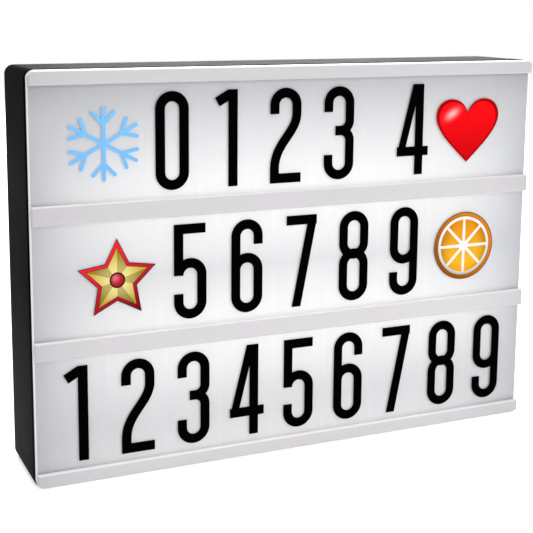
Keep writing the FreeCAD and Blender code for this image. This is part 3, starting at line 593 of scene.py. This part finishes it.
def numeral_outlines(figure, width, height, stroke):
    """The strokes of a condensed numeral standing in a box centred on (0, 0)."""
    a = (width - stroke) / 2                # half the width between the strokes' middle lines
    low = -height / 2 + stroke / 2          # lowest and highest middle line
    high = height / 2 - stroke / 2
    tip = stroke / 2
    hook = stroke * 0.9                     # straight end of an open curve
    lap = stroke * 0.06                     # how far the 8's loops reach past its waist
    waist = low + (high - low) * 0.53       # height at which the 3 and the 8 are drawn in
    bowl = low + (high - low) * 0.60 - a    # height from which the 5's and 6's bowls curve over
    bar = low + height * 0.21               # height of the 4's crossbar
    arm = a * 1.15                          # half the crossbar's length
    stem = a * 0.62                         # where the 4's stem stands
    post = a * 0.25                         # where the 1 stands
    curl = a * 0.85                         # radius of the 3's curves at its waist
    tongue = a * 0.35                       # how far left of the middle those curves start
    shapes = {
        "0": [loop(a, low, high)],
        "1": [[(post, low - tip), (post, high + tip)]],
        "2": [[(-a, high - a - hook)] + arc(0, high - a, a, 180, 0)
              + bend((a, high - a - hook), (a, waist), (-a, waist - stroke), (-a, low + stroke))
              + [(-a, low - tip)],
              [(-a, low), (a + tip, low)]],
        "3": [[(-a, high - a - hook)] + arc(0, high - a, a, 180, 0)
              + arc(a - curl, waist + curl, curl, 0, -90) + [(-tongue, waist)],
              [(-tongue, waist)] + arc(a - curl, waist - curl, curl, 90, 0)
              + arc(0, low + a, a, 0, -180) + [(-a, low + a + hook)]],
        "4": [[(stem, low - tip), (stem, high + tip)], [(-arm - tip, bar), (arm + tip, bar)]],
        "5": [[(-a - tip, high), (a + tip * 0.8, high)],
              [(-a, high + tip), (-a, bowl)],
              arc(0, bowl, a, 180, 0) + arc(0, low + a, a, 0, -180) + [(-a, low + a + hook)]],
        "6": [loop(a, low, bowl + a),
              [(a, high - a - hook)] + arc(0, high - a, a, 0, 180) + [(-a, bowl - tip)]],
        "7": [[(-a - tip, high), (a + tip, high)]],
        "8": [loop(a, waist - lap, high), loop(a, low, waist + lap)],
    }
    if figure == "9":
        six = numeral_outlines("6", width, height, stroke)
        return [[(-x, -z) for x, z in outline] for outline in six]
    outlines = [quad for path in shapes[figure] for quad in ribbon(path, stroke)]
    if figure == "1":
        corner = Vector((post - tip, high + tip))
        along = Vector((-math.cos(FLAG_SLOPE), -math.sin(FLAG_SLOPE)))
        down = Vector((math.sin(FLAG_SLOPE), -math.cos(FLAG_SLOPE))) * stroke
        far = corner + along * (a + tip * 0.8)
        flag = (corner, far, far + down, corner + down - along * tip)
        outlines.append([tuple(p) for p in flag])
    if figure == "4":
        outlines.append(slant(-arm - tip * 0.1, bar - tip * 0.5, stem - tip * 0.75, high + tip,
                              stroke * 0.86))
    if figure == "7":
        outlines.append(slant(-a * 0.45, low - tip, a, high, stroke))
    return outlines


# ---- the snowflake ----

def snowflake_outlines(prints):
    """Six arms with a pair of barbs each, then widened a little."""
    fork = 0.55                         # how far out an arm's barbs start
    barb = 0.43                         # their length, as a share of the arm
    splay = math.radians(42)            # their angle to the arm
    widen = 1.0 + prints.snow_spread / prints.snow_radius
    reach = prints.snow_radius - prints.snow_stroke / 2
    outlines = []
    for arm in range(6):
        turn = math.radians(90 + 60 * arm)
        direction = Vector((math.cos(turn), math.sin(turn)))
        outlines.append(finger(-direction * reach / 4, direction * reach, prints.snow_stroke))
        root = direction * reach * fork
        for side in (-1, 1):
            out = turn + side * splay
            tip = root + Vector((math.cos(out), math.sin(out))) * reach * barb
            outlines.append(finger(root, tip, prints.snow_stroke))
    return [[(x * widen, z) for x, z in outline] for outline in outlines]


def snow_tone(shader, middle, prints):
    """Pale blue, a little deeper towards the foot."""
    up = shader.offsets(middle)[1]
    fade = (up / (2 * prints.snow_radius) + 0.5).held()
    return shader.shades(fade, prints.snow_blue, 0.92, 1.0)


# ---- the heart ----

def heart_outline(width, height):
    """A full heart centred on (0, 0), from the notch round its right side to the tip and back."""
    right = (bend((0, 0.29), (0.05, 0.43), (0.15, 0.50), (0.26, 0.50))[:-1]
             + bend((0.26, 0.50), (0.40, 0.50), (0.50, 0.39), (0.50, 0.23))[:-1]
             + bend((0.50, 0.23), (0.50, 0.00), (0.21, -0.27), (0, -0.50)))
    left = [(-x, z) for x, z in right[-2:0:-1]]
    return [(x * width, z * height) for x, z in right + left]


def nested_print(outline, middle, front, thickness, rings):
    """A print as rings nested inside its outline, with the share of the way in kept per point."""
    mesh = bmesh.new()
    depth = mesh.verts.layers.float.new("way_in")
    loops = []
    for k in range(rings):
        scale = 1.0 - k / rings
        ring = []
        for x, z in outline:
            vert = mesh.verts.new((middle[0] + x * scale, front - thickness,
                                   middle[1] + z * scale))
            vert[depth] = k / rings
            ring.append(vert)
        loops.append(ring)
    centre = mesh.verts.new((middle[0], front - thickness, middle[1]))
    centre[depth] = 1.0
    back = [mesh.verts.new((v.co.x, front, v.co.z)) for v in loops[0]]
    count = len(outline)
    for k in range(count):
        following = (k + 1) % count
        for outer, inner in zip(loops, loops[1:]):
            mesh.faces.new([outer[k], outer[following], inner[following], inner[k]])
        mesh.faces.new([loops[-1][k], loops[-1][following], centre])
        mesh.faces.new([back[k], back[following], loops[0][following], loops[0][k]])
    mesh.faces.new(back[::-1])
    bmesh.ops.recalc_face_normals(mesh, faces=mesh.faces)
    return mesh


def heart_tone(shader, middle, prints):
    """Red that deepens towards the tip, one soft light on the left lobe, and a darker rim."""
    way_in = shader.node("ShaderNodeAttribute", {"attribute_name": "way_in"}, out="Fac")
    right, above, _ = shader.offsets(middle)
    up = above / prints.heart_height
    shade = (0.30 - 0.9 * up).held()
    red = shader.shades(shade, prints.heart_red, 1.0, 0.50)
    # the light lies about (-0.25, 0.27) of the heart's size and leans up to the right
    over = right / prints.heart_width + 0.25
    higher = up - 0.27
    along = over * 0.8 + higher * 0.6
    aside = higher * 0.8 - over * 0.6
    gleam = along.bell(0.0, 0.10) * aside.bell(0.0, 0.052) * 0.85
    red = shader.mix(gleam, red, (0.76, 0.45, 0.43, 1.0))
    rim = ((0.105 - way_in) / 0.03).held()
    return shader.mix(rim, red, solid(prints.heart_red, 0.42))


# ---- the star ----

def star_points(radius):
    """The ten corners of a five-pointed star, the first one at the top."""
    corners = []
    for k in range(10):
        turn = math.radians(90 + 36 * k)
        reach = radius if k % 2 == 0 else radius * STAR_WAIST
        corners.append((reach * math.cos(turn), reach * math.sin(turn)))
    return corners


def border_tone(shader, middle, prints):
    """Red that darkens towards the lower right."""
    right, up, _ = shader.offsets(middle)
    shade = (0.45 + (0.5 * right - up) / (1.8 * prints.star_radius)).held()
    return shader.shades(shade, prints.star_red, 1.15, 0.26)


def button_tone(shader, middle, prints):
    """Deep red with one small light above and left of its middle."""
    right, up, _ = shader.offsets(middle)
    size = prints.star_radius
    light = (right / size).bell(-0.05, 0.09) * (up / size).bell(0.05, 0.09)
    return shader.mix(light, solid(prints.star_red, 0.55), (0.62, 0.12, 0.15, 1.0))


def gold_tone(shader, middle, prints, strength):
    """Gold, pale near the middle, orange at the points and deeper towards the foot."""
    _, up, away = shader.offsets(middle)
    size = prints.star_radius
    pale = (1.25 - 1.9 * away / size).held() * strength
    tip = (away / size * 2.2 - 0.9).held() * 0.45
    base = shader.shades((0.5 - up / size).held(), prints.star_gold, strength, 0.74 * strength)
    base = shader.mix(pale, base, (0.70, 0.63, 0.26, 1.0))
    return shader.mix(tip, base, solid((0.52, 0.22, 0.03), strength))


# ---- the citrus wheel ----

def rind_tone(shader, middle, prints):
    """Amber with fine pores, darker towards the lower left."""
    right, up, _ = shader.offsets(middle)
    shade = (0.5 - (right + up) / (2.2 * prints.citrus_radius)).held()
    pores = shader.noise(0.0009)
    tone = shader.shades(shade, prints.citrus_amber, 1.2, 0.45)
    return shader.mix(pores * 0.3, tone, solid(prints.citrus_amber, 0.6))


def pith_tone(shader, middle, prints):
    """Warm white, greyer round the lower edge."""
    _, up, away = shader.offsets(middle)
    radius = prints.citrus_radius
    grey = ((away / radius).bell(0.9, 0.12) * (0.5 - up / radius)).held()
    return shader.mix(grey, (0.71, 0.67, 0.63, 1.0), (0.36, 0.36, 0.37, 1.0))


def flesh_tone(shader, middle, prints):
    """Amber pulp, yellow half way out and brown towards the sides."""
    right, up, away = shader.offsets(middle)
    radius = prints.citrus_radius
    pulp = shader.noise(0.0011, 3.0)
    glow = (away / radius).bell(0.42, 0.36) * (0.62 - 0.7 * up / radius).held()
    brown = (abs(right) / radius * 1.5 + away / radius * 0.9 - 0.95).held()
    tone = shader.mix(brown, solid(prints.citrus_amber, 1.15), (0.20, 0.042, 0.005, 1.0))
    tone = shader.mix(glow, tone, solid(prints.citrus_yellow))
    return shader.mix(pulp * 0.22, tone, solid(prints.citrus_yellow, 1.05))


# ---- springs and cells ----

def wind(mesh, foot, travel, wide, wire):
    """Winds a spring into a mesh, along X from the middle of its foot over its travel. Wide is
    its radius at the foot, and wire the wire's radius."""
    count = int(SPRING_TURNS * SPRING_STEPS)
    rings = []
    for k in range(count + 1):
        t = k / count
        turn = 2 * math.pi * SPRING_TURNS * t
        radius = wide * (1.0 - (1.0 - SPRING_TIP) * t)
        outward = Vector((0, math.cos(turn), math.sin(turn)))
        centre = foot + Vector((travel * t, 0, 0)) + outward * radius
        ring = []
        for side in range(WIRE_SIDES):
            around = 2 * math.pi * side / WIRE_SIDES
            offset = outward * math.cos(around) + Vector((1, 0, 0)) * math.sin(around)
            ring.append(mesh.verts.new(centre + offset * wire))
        rings.append(ring)
    for first, second in zip(rings, rings[1:]):
        for side in range(WIRE_SIDES):
            after = (side + 1) % WIRE_SIDES
            mesh.faces.new([first[side], first[after], second[after], second[side]])
    mesh.faces.new(rings[0][::-1])
    mesh.faces.new(rings[-1])


def cap_points_up(name):
    """Whether a cell's narrow cap is at its +X end."""
    low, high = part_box(name)
    middle_z = (low.z + high.z) / 2
    reach = [abs(v.co.z - middle_z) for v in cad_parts[name].data.vertices
             if v.co.x > high.x - CAP_SLICE]
    return max(reach) < (high.z - low.z) / 4


# ---- one operator for each piece or group of like pieces ----

class LightBoxOperator(bpy.types.Operator):
    """Base of the light box's operators."""
    bl_options = {"REGISTER", "UNDO"}


class LIGHTBOX_OT_case(LightBoxOperator):
    """Finish the moulded housing, its door and the sheet inside"""
    bl_idname = "lightbox.case"
    bl_label = "Finish the case"

    def execute(self, context):
        finish = context.scene.light_box.finish
        low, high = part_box("rear_housing")
        skin = 0.001                    # the back keeps its plain tone up to here, and the sides' painted light and shade are full at 2
        foot_top = 0.11                 # height up to which the sides get painted light, standing in for light from the floor
        # height and width of a soft band of painted reflection on the sides
        reflection_band_z, reflection_band_width = 0.158, 0.022

        def painted_side_light(shader, tone):
            """Sides: painted light near the foot and in one soft band, painted shade towards the
            front.
            """
            _, y, z = shader.axes()
            side = ((high.y - y) / skin - 1.0).held()
            painted_front_shade = ((high.y - y) / (high.y - low.y)).held()
            up = (z / foot_top).held()
            # painted shade high up, less in the band of painted reflection; painted light near the
            # foot; painted shade towards the front
            dark = up * (0.55 - 0.4 * z.bell(reflection_band_z, reflection_band_width))
            tone = shader.mix(side * dark, tone, BLACK)
            tone = shader.mix(side * (1.0 - up), tone, solid(finish.housing, 2.4))
            return shader.mix(side * painted_front_shade ** 2.0 * 0.55, tone, BLACK)

        # the case's black takes painted light and shade on its sides
        black = moulded_plastic("moulded_black", finish.housing, 0.62, relief=0.00005,
                                specular=0.003, painted_light=painted_side_light)
        dress(black, "rear_housing", "battery_door")
        dress(moulded_plastic("sheet_white", (0.85, 0.85, 0.85), 0.6), "reflector_sheet")
        return {"FINISHED"}


class LIGHTBOX_OT_front(LightBoxOperator):
    """Finish the lit panel, the rails and the clear tiles"""
    bl_idname = "lightbox.front"
    bl_label = "Finish the front"

    def execute(self, context):
        settings = context.scene.light_box
        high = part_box("front_panel")[1]
        rails = ("lower_middle_rail", "upper_middle_rail")
        lamps = [sum(corner.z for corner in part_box(rail)) / 2 for rail in rails]
        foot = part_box("bottom_rail")[1].z
        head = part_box("top_rail")[0].z
        dress(lit_panel("opal_panel", settings.glow, lamps, high.x, foot, head), "front_panel")
        pale = rail_plastic("rail_plastic", settings.finish, high.x, head)
        dress(pale, "top_rail", "bottom_rail", *rails)
        dress(clear_film("clear_film", settings.finish.film), *TILES)
        return {"FINISHED"}


class LIGHTBOX_OT_numerals(LightBoxOperator):
    """Print a plain condensed numeral on each numeral tile"""
    bl_idname = "lightbox.numerals"
    bl_label = "Print the numerals"

    def execute(self, context):
        prints = context.scene.light_box.prints
        ink = ink_print("ink_black", prints.ink)
        for figure in "0123456789":
            outlines = numeral_outlines(figure, prints.numeral_width, prints.numeral_height,
                                        prints.stroke)
            for tile in tiles_with(figure):
                middle, front = tile_face(tile)
                mesh = printed(outlines, middle, front, PRINT)
                piece_from(f"numeral_{figure}_on_{tile}", mesh, tile, [ink])
        return {"FINISHED"}


class LIGHTBOX_OT_snowflake(LightBoxOperator):
    """Print the blue snowflake: six arms with a pair of barbs each"""
    bl_idname = "lightbox.snowflake"
    bl_label = "Print the snowflake"

    def execute(self, context):
        prints = context.scene.light_box.prints
        outlines = snowflake_outlines(prints)
        for tile in tiles_with("snowflake"):
            middle, front = tile_face(tile)
            blue = lit_print("ink_snow_blue", snow_tone, middle, prints)
            mesh = printed(outlines, middle, front, PRINT)
            piece_from(f"snowflake_on_{tile}", mesh, tile, [blue])
        return {"FINISHED"}


class LIGHTBOX_OT_heart(LightBoxOperator):
    """Print the red heart, with a darker rim and one soft light on its left lobe"""
    bl_idname = "lightbox.heart"
    bl_label = "Print the heart"

    def execute(self, context):
        prints = context.scene.light_box.prints
        outline = heart_outline(prints.heart_width, prints.heart_height)
        for tile in tiles_with("heart"):
            middle, front = tile_face(tile, prints.heart_drop)
            red = lit_print("ink_heart_red", heart_tone, middle, prints)
            mesh = nested_print(outline, middle, front, PRINT, HEART_RINGS)
            piece_from(f"heart_on_{tile}", mesh, tile, [red])
        return {"FINISHED"}


class LIGHTBOX_OT_star(LightBoxOperator):
    """Print the gold star: light and dark facets, a red border and a red button in its middle"""
    bl_idname = "lightbox.star"
    bl_label = "Print the star"

    def execute(self, context):
        prints = context.scene.light_box.prints
        size = prints.star_radius
        line, border, gold, button = 0, 1, 2, 4        # places in the list of inks
        inner = star_points(size * 0.775)
        facets = [[(0, 0), corner, inner[(k + 1) % 10]] for k, corner in enumerate(inner)]
        layers = [(star_points(size * 0.965), border, 2), (star_points(size * 0.80), line, 3)]
        layers += [(facet, gold + k % 2, 4) for k, facet in enumerate(facets)]
        layers += [(disc(size * 0.19), line, 5), (disc(size * 0.155), button, 6)]
        for tile in tiles_with("star"):
            middle, front = tile_face(tile, prints.star_drop)
            inks = [lit_print("ink_star_line", mottled, 0.002, (0.030, 0.001, 0.003),
                              (0.050, 0.002, 0.005)),
                    lit_print("ink_star_red", border_tone, middle, prints),
                    lit_print("ink_gold_light", gold_tone, middle, prints, 1.0),
                    lit_print("ink_gold_dark", gold_tone, middle, prints, 0.48),
                    lit_print("ink_button_red", button_tone, middle, prints)]
            mesh = layered(star_points(size), 2, layers, middle, front)
            piece_from(f"star_on_{tile}", mesh, tile, inks)
        return {"FINISHED"}


class LIGHTBOX_OT_citrus(LightBoxOperator):
    """Print the citrus wheel: amber segments in white pith inside an amber rind"""
    bl_idname = "lightbox.citrus"
    bl_label = "Print the citrus wheel"

    def execute(self, context):
        prints = context.scene.light_box.prints
        radius = prints.citrus_radius
        line, rind, pith, flesh = range(4)             # places in the list of inks
        layers = [(disc(radius * 0.975), rind, 1), (disc(radius * 0.885), line, 2),
                  (disc(radius * 0.87), pith, 3)]
        half = 180.0 / SEGMENTS - 2.8                  # half a segment's angle, less half a gap
        for k in range(SEGMENTS):
            turn = 360.0 * (k + 0.5) / SEGMENTS
            core = arc(0, 0, radius * 0.13, turn, turn)[:1]
            layers.append((arc(0, 0, radius * 0.78, turn - half, turn + half) + core, flesh, 4))
        for tile in tiles_with("citrus"):
            middle, front = tile_face(tile)
            inks = [lit_print("ink_rind_line", mottled, 0.002, (0.10, 0.035, 0.008),
                              (0.14, 0.05, 0.012)),
                    lit_print("ink_rind", rind_tone, middle, prints),
                    lit_print("ink_pith", pith_tone, middle, prints),
                    lit_print("ink_flesh", flesh_tone, middle, prints)]
            mesh = layered(disc(radius), 1, layers, middle, front)
            piece_from(f"citrus_on_{tile}", mesh, tile, inks)
        return {"FINISHED"}


class LIGHTBOX_OT_springs(LightBoxOperator):
    """Wind the three battery springs, each from its wide foot to its narrow tip"""
    bl_idname = "lightbox.springs"
    bl_label = "Wind the battery springs"

    def execute(self, context):
        wire = context.scene.light_box.finish.spring_wire / 2
        nickel = plated_metal("spring_nickel", (0.62, 0.61, 0.58), 0.25)
        corners = [v.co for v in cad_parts["battery_springs"].data.vertices]
        low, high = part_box("battery_springs")
        tall = (high.z - low.z) / CELL_ROWS
        mesh = bmesh.new()
        for row in range(CELL_ROWS):
            here = [c for c in corners if low.z + row * tall <= c.z <= low.z + (row + 1) * tall]
            (x0, x1), (y0, y1), (z0, z1) = [(min(c[k] for c in here), max(c[k] for c in here))
                                            for k in range(3)]
            outer, inner = sorted((x0, x1), key=abs, reverse=True)
            inward = math.copysign(1.0, inner - outer)
            foot = Vector((outer + inward * wire, (y0 + y1) / 2, (z0 + z1) / 2))
            wind(mesh, foot, inner - outer - 2 * inward * wire, (z1 - z0) / 2 - wire, wire)
        bmesh.ops.recalc_face_normals(mesh, faces=mesh.faces)
        for face in mesh.faces:
            face.smooth = True
        coils = piece_from("battery_spring_coils", mesh, "root", [nickel])
        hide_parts("battery_springs")
        return {"FINISHED"}


class LIGHTBOX_OT_cells(LightBoxOperator):
    """Finish the six cells: a plain sleeve, a pale band and a bright cap"""
    bl_idname = "lightbox.cells"
    bl_label = "Finish the cells"

    def execute(self, context):
        finish = context.scene.light_box.finish
        for name in CELLS:
            low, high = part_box(name)
            shader = Shader(f"sleeve_{name}")
            x = shader.axes()[0]
            from_cap = (high.x - x) if cap_points_up(name) else (x - low.x)
            metal = (from_cap < CAP_METAL) + (from_cap > (high.x - low.x - FOOT_METAL))
            band = (from_cap > CELL_BAND[0]) * (from_cap < CELL_BAND[1])
            tone = shader.mix(band, solid(finish.cell), (0.55, 0.57, 0.60, 1.0))
            tone = shader.mix(metal, tone, (0.70, 0.69, 0.66, 1.0))
            scuff = shader.noise(0.004, 4.0)
            dress(shader.finish(Base_Color=tone, Metallic=metal,
                                Roughness=about(0.30, 0.16, scuff),
                                Normal=shader.bump(scuff, 0.00001)), name)
        return {"FINISHED"}


class LIGHTBOX_OT_electrics(LightBoxOperator):
    """Finish contacts, switch, socket, boards, lamps, leads and screws"""
    bl_idname = "lightbox.electrics"
    bl_label = "Finish the electrics"

    def execute(self, context):
        # name, colour, roughness and nodes
        metals = (
            ("contact_nickel", (0.66, 0.65, 0.62), 0.28, ("contact_plates", "power_socket")),
            ("terminal_brass", (0.72, 0.53, 0.24), 0.30, ("switch_terminals",)),
            ("screw_zinc", (0.42, 0.42, 0.44), 0.36, ("housing_screws", "board_screws")),
        )
        plastics = (
            ("switch_black", (0.010, 0.010, 0.011), 0.34, ("switch_body", "switch_rocker")),
            ("component_black", (0.015, 0.015, 0.016), 0.50, ("board_components",)),
            ("board_green", (0.01, 0.13, 0.045), 0.30, ("control_board",)),
            ("strip_white", (0.82, 0.82, 0.80), 0.35, ("led_strip_upper", "led_strip_lower")),
            ("lead_black", (0.012, 0.012, 0.012), 0.45, ("battery_lead_black",)),
            ("lead_red", (0.45, 0.01, 0.01), 0.45, ("battery_lead_red", "switch_lead")),
            ("lead_white", (0.75, 0.75, 0.75), 0.45, ("lower_strip_lead", "upper_strip_lead")),
        )
        for made_as, table in ((plated_metal, metals), (moulded_plastic, plastics)):
            for name, rgb, roughness, nodes in table:
                dress(made_as(name, rgb, roughness), *nodes)
        dress(lit_print("lamp_phosphor", mottled, 0.001, (0.95, 0.80, 0.30), (1.0, 0.92, 0.60),
                        backlight=2.0), "led_chips_upper", "led_chips_lower")
        return {"FINISHED"}


class LIGHTBOX_OT_rocker_marks(LightBoxOperator):
    """Print a bar for on and a ring for off on the rocker"""
    bl_idname = "lightbox.rocker_marks"
    bl_label = "Mark the rocker"

    def execute(self, context):
        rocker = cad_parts["switch_rocker"]
        low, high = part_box("switch_rocker")
        reach = (high.z - low.z) * 0.27         # from the rocker's middle to a mark's
        stroke = 0.0004
        bar = ribbon([(-0.0011, 0), (0.0011, 0)], stroke)
        ring = ribbon(arc(0, 0, 0.00095, 0, 360), stroke)
        proud = 0.00006                         # how far a mark stands out of the rocker
        white = ink_print("mark_white", (0.80, 0.80, 0.78))
        for name, outlines, side in (("on_bar", bar, 1), ("off_ring", ring, -1)):
            middle = ((low.x + high.x) / 2, (low.z + high.z) / 2 + side * reach)
            mesh = printed(outlines, middle, high.y, PRINT)
            for vert in mesh.verts:
                above = proud if vert.co.y >= high.y else 0.0
                start = Vector((vert.co.x, high.y + 0.01, vert.co.z))
                hit, place, normal, _ = rocker.ray_cast(start, Vector((0, -1, 0)))
                if not hit:
                    raise RuntimeError(f"the {name} mark misses the rocker")
                vert.co = place + normal * above
            bmesh.ops.recalc_face_normals(mesh, faces=mesh.faces)
            piece_from(f"rocker_{name}", mesh, "switch_rocker", [white])
        return {"FINISHED"}


# ---- the studio ----

class LIGHTBOX_OT_studio(LightBoxOperator):
    """Set up the camera, the white floor, the soft lamps and the world"""
    bl_idname = "lightbox.studio"
    bl_label = "Set up the studio"

    def execute(self, context):
        studio = context.scene.light_box.studio
        context.scene.view_settings.view_transform = "Standard"
        add_camera(context.scene, studio)
        add_floor(studio.floor_size)
        add_lamp("lamp_above", (-0.1, 0.1, 1.4), 1.2, 17.0)
        add_lamp("lamp_behind", (0.75, 1.60, 0.75), 1.0, 46.0)
        add_lamp("lamp_front", (0.7, -1.7, 0.8), 1.2, 15.0)
        add_world(context.scene, 0.55)
        return {"FINISHED"}


def add_camera(scene, studio):
    """The camera, turned by its heading, dip and tilt."""
    lens = bpy.data.cameras.new("eye")
    lens.sensor_width = 36.0
    lens.lens = studio.lens
    lens.shift_x = -studio.shift_x
    lens.shift_y = -studio.shift_y
    lens.clip_start = 0.01
    camera = add_object("eye", lens)
    turn = (Matrix.Rotation(-studio.heading, 4, "Z")
            @ Matrix.Rotation(math.pi / 2 - studio.dip, 4, "X")
            @ Matrix.Rotation(studio.tilt, 4, "Z"))
    camera.matrix_world = Matrix.Translation(studio.eye) @ turn
    scene.camera = camera


def add_floor(size):
    """A white floor that keeps the object's shadow."""
    mesh = bmesh.new()
    bmesh.ops.create_grid(mesh, x_segments=4, y_segments=4, size=size / 2)
    shader = Shader("floor_white")
    glow = shader.mix(shader.seen() * 0.50, BLACK, WHITE)
    white = shader.finish(Base_Color=(0.80, 0.80, 0.80, 1.0), Roughness=0.9,
                          Specular_IOR_Level=0.0, Emission_Color=glow, Emission_Strength=1.0)
    floor = mesh_object("floor", mesh, [white])


def add_lamp(name, place, size, power):
    """A square soft lamp that faces the light box."""
    data = bpy.data.lights.new(name, "AREA")
    data.size = size
    data.energy = power
    lamp = add_object(name, data)
    lamp.location = place
    aim = Vector((0.0, 0.0, 0.1)) - Vector(place)
    lamp.rotation_euler = aim.to_track_quat("-Z", "Y").to_euler()


def add_world(scene, strength):
    """White where it is seen or mirrored, and a softer even light elsewhere."""
    world = bpy.data.worlds.new("studio_white")
    sky = Graph(world)
    soft, white = [sky.node("ShaderNodeBackground", None, {"Color": WHITE, "Strength": light})
                   for light in (strength, 1.0)]
    either = sky.node("ShaderNodeMixShader", None, {0: sky.seen(), 1: soft, 2: white})
    sky.node("ShaderNodeOutputWorld", None, {"Surface": either})
    scene.world = world


OPERATORS = (LIGHTBOX_OT_case, LIGHTBOX_OT_front, LIGHTBOX_OT_numerals, LIGHTBOX_OT_snowflake,
             LIGHTBOX_OT_heart, LIGHTBOX_OT_star, LIGHTBOX_OT_citrus, LIGHTBOX_OT_springs,
             LIGHTBOX_OT_cells, LIGHTBOX_OT_electrics, LIGHTBOX_OT_rocker_marks,
             LIGHTBOX_OT_studio)


class LIGHTBOX_PT_panel(bpy.types.Panel):
    """Lists the light box's operators in the sidebar"""
    bl_idname = "LIGHTBOX_PT_panel"
    bl_label = "Cinema Light Box"
    bl_space_type = "VIEW_3D"
    bl_region_type = "UI"
    bl_category = "Light Box"

    def draw(self, context):
        for operator in OPERATORS:
            self.layout.operator(operator.bl_idname)


CLASSES = (LightBoxPrints, LightBoxGlow, LightBoxFinish, LightBoxStudio, LightBoxSettings,
           *OPERATORS, LIGHTBOX_PT_panel)


def register():
    for cls in CLASSES:
        bpy.utils.register_class(cls)
    bpy.types.Scene.light_box = bpy.props.PointerProperty(type=LightBoxSettings)


def unregister():
    del bpy.types.Scene.light_box
    for cls in reversed(CLASSES):
        bpy.utils.unregister_class(cls)


def main():
    register()
    for operator in OPERATORS:
        group, action = operator.bl_idname.split(".")
        getattr(getattr(bpy.ops, group), action)()


if __name__ == "__main__":
    main()
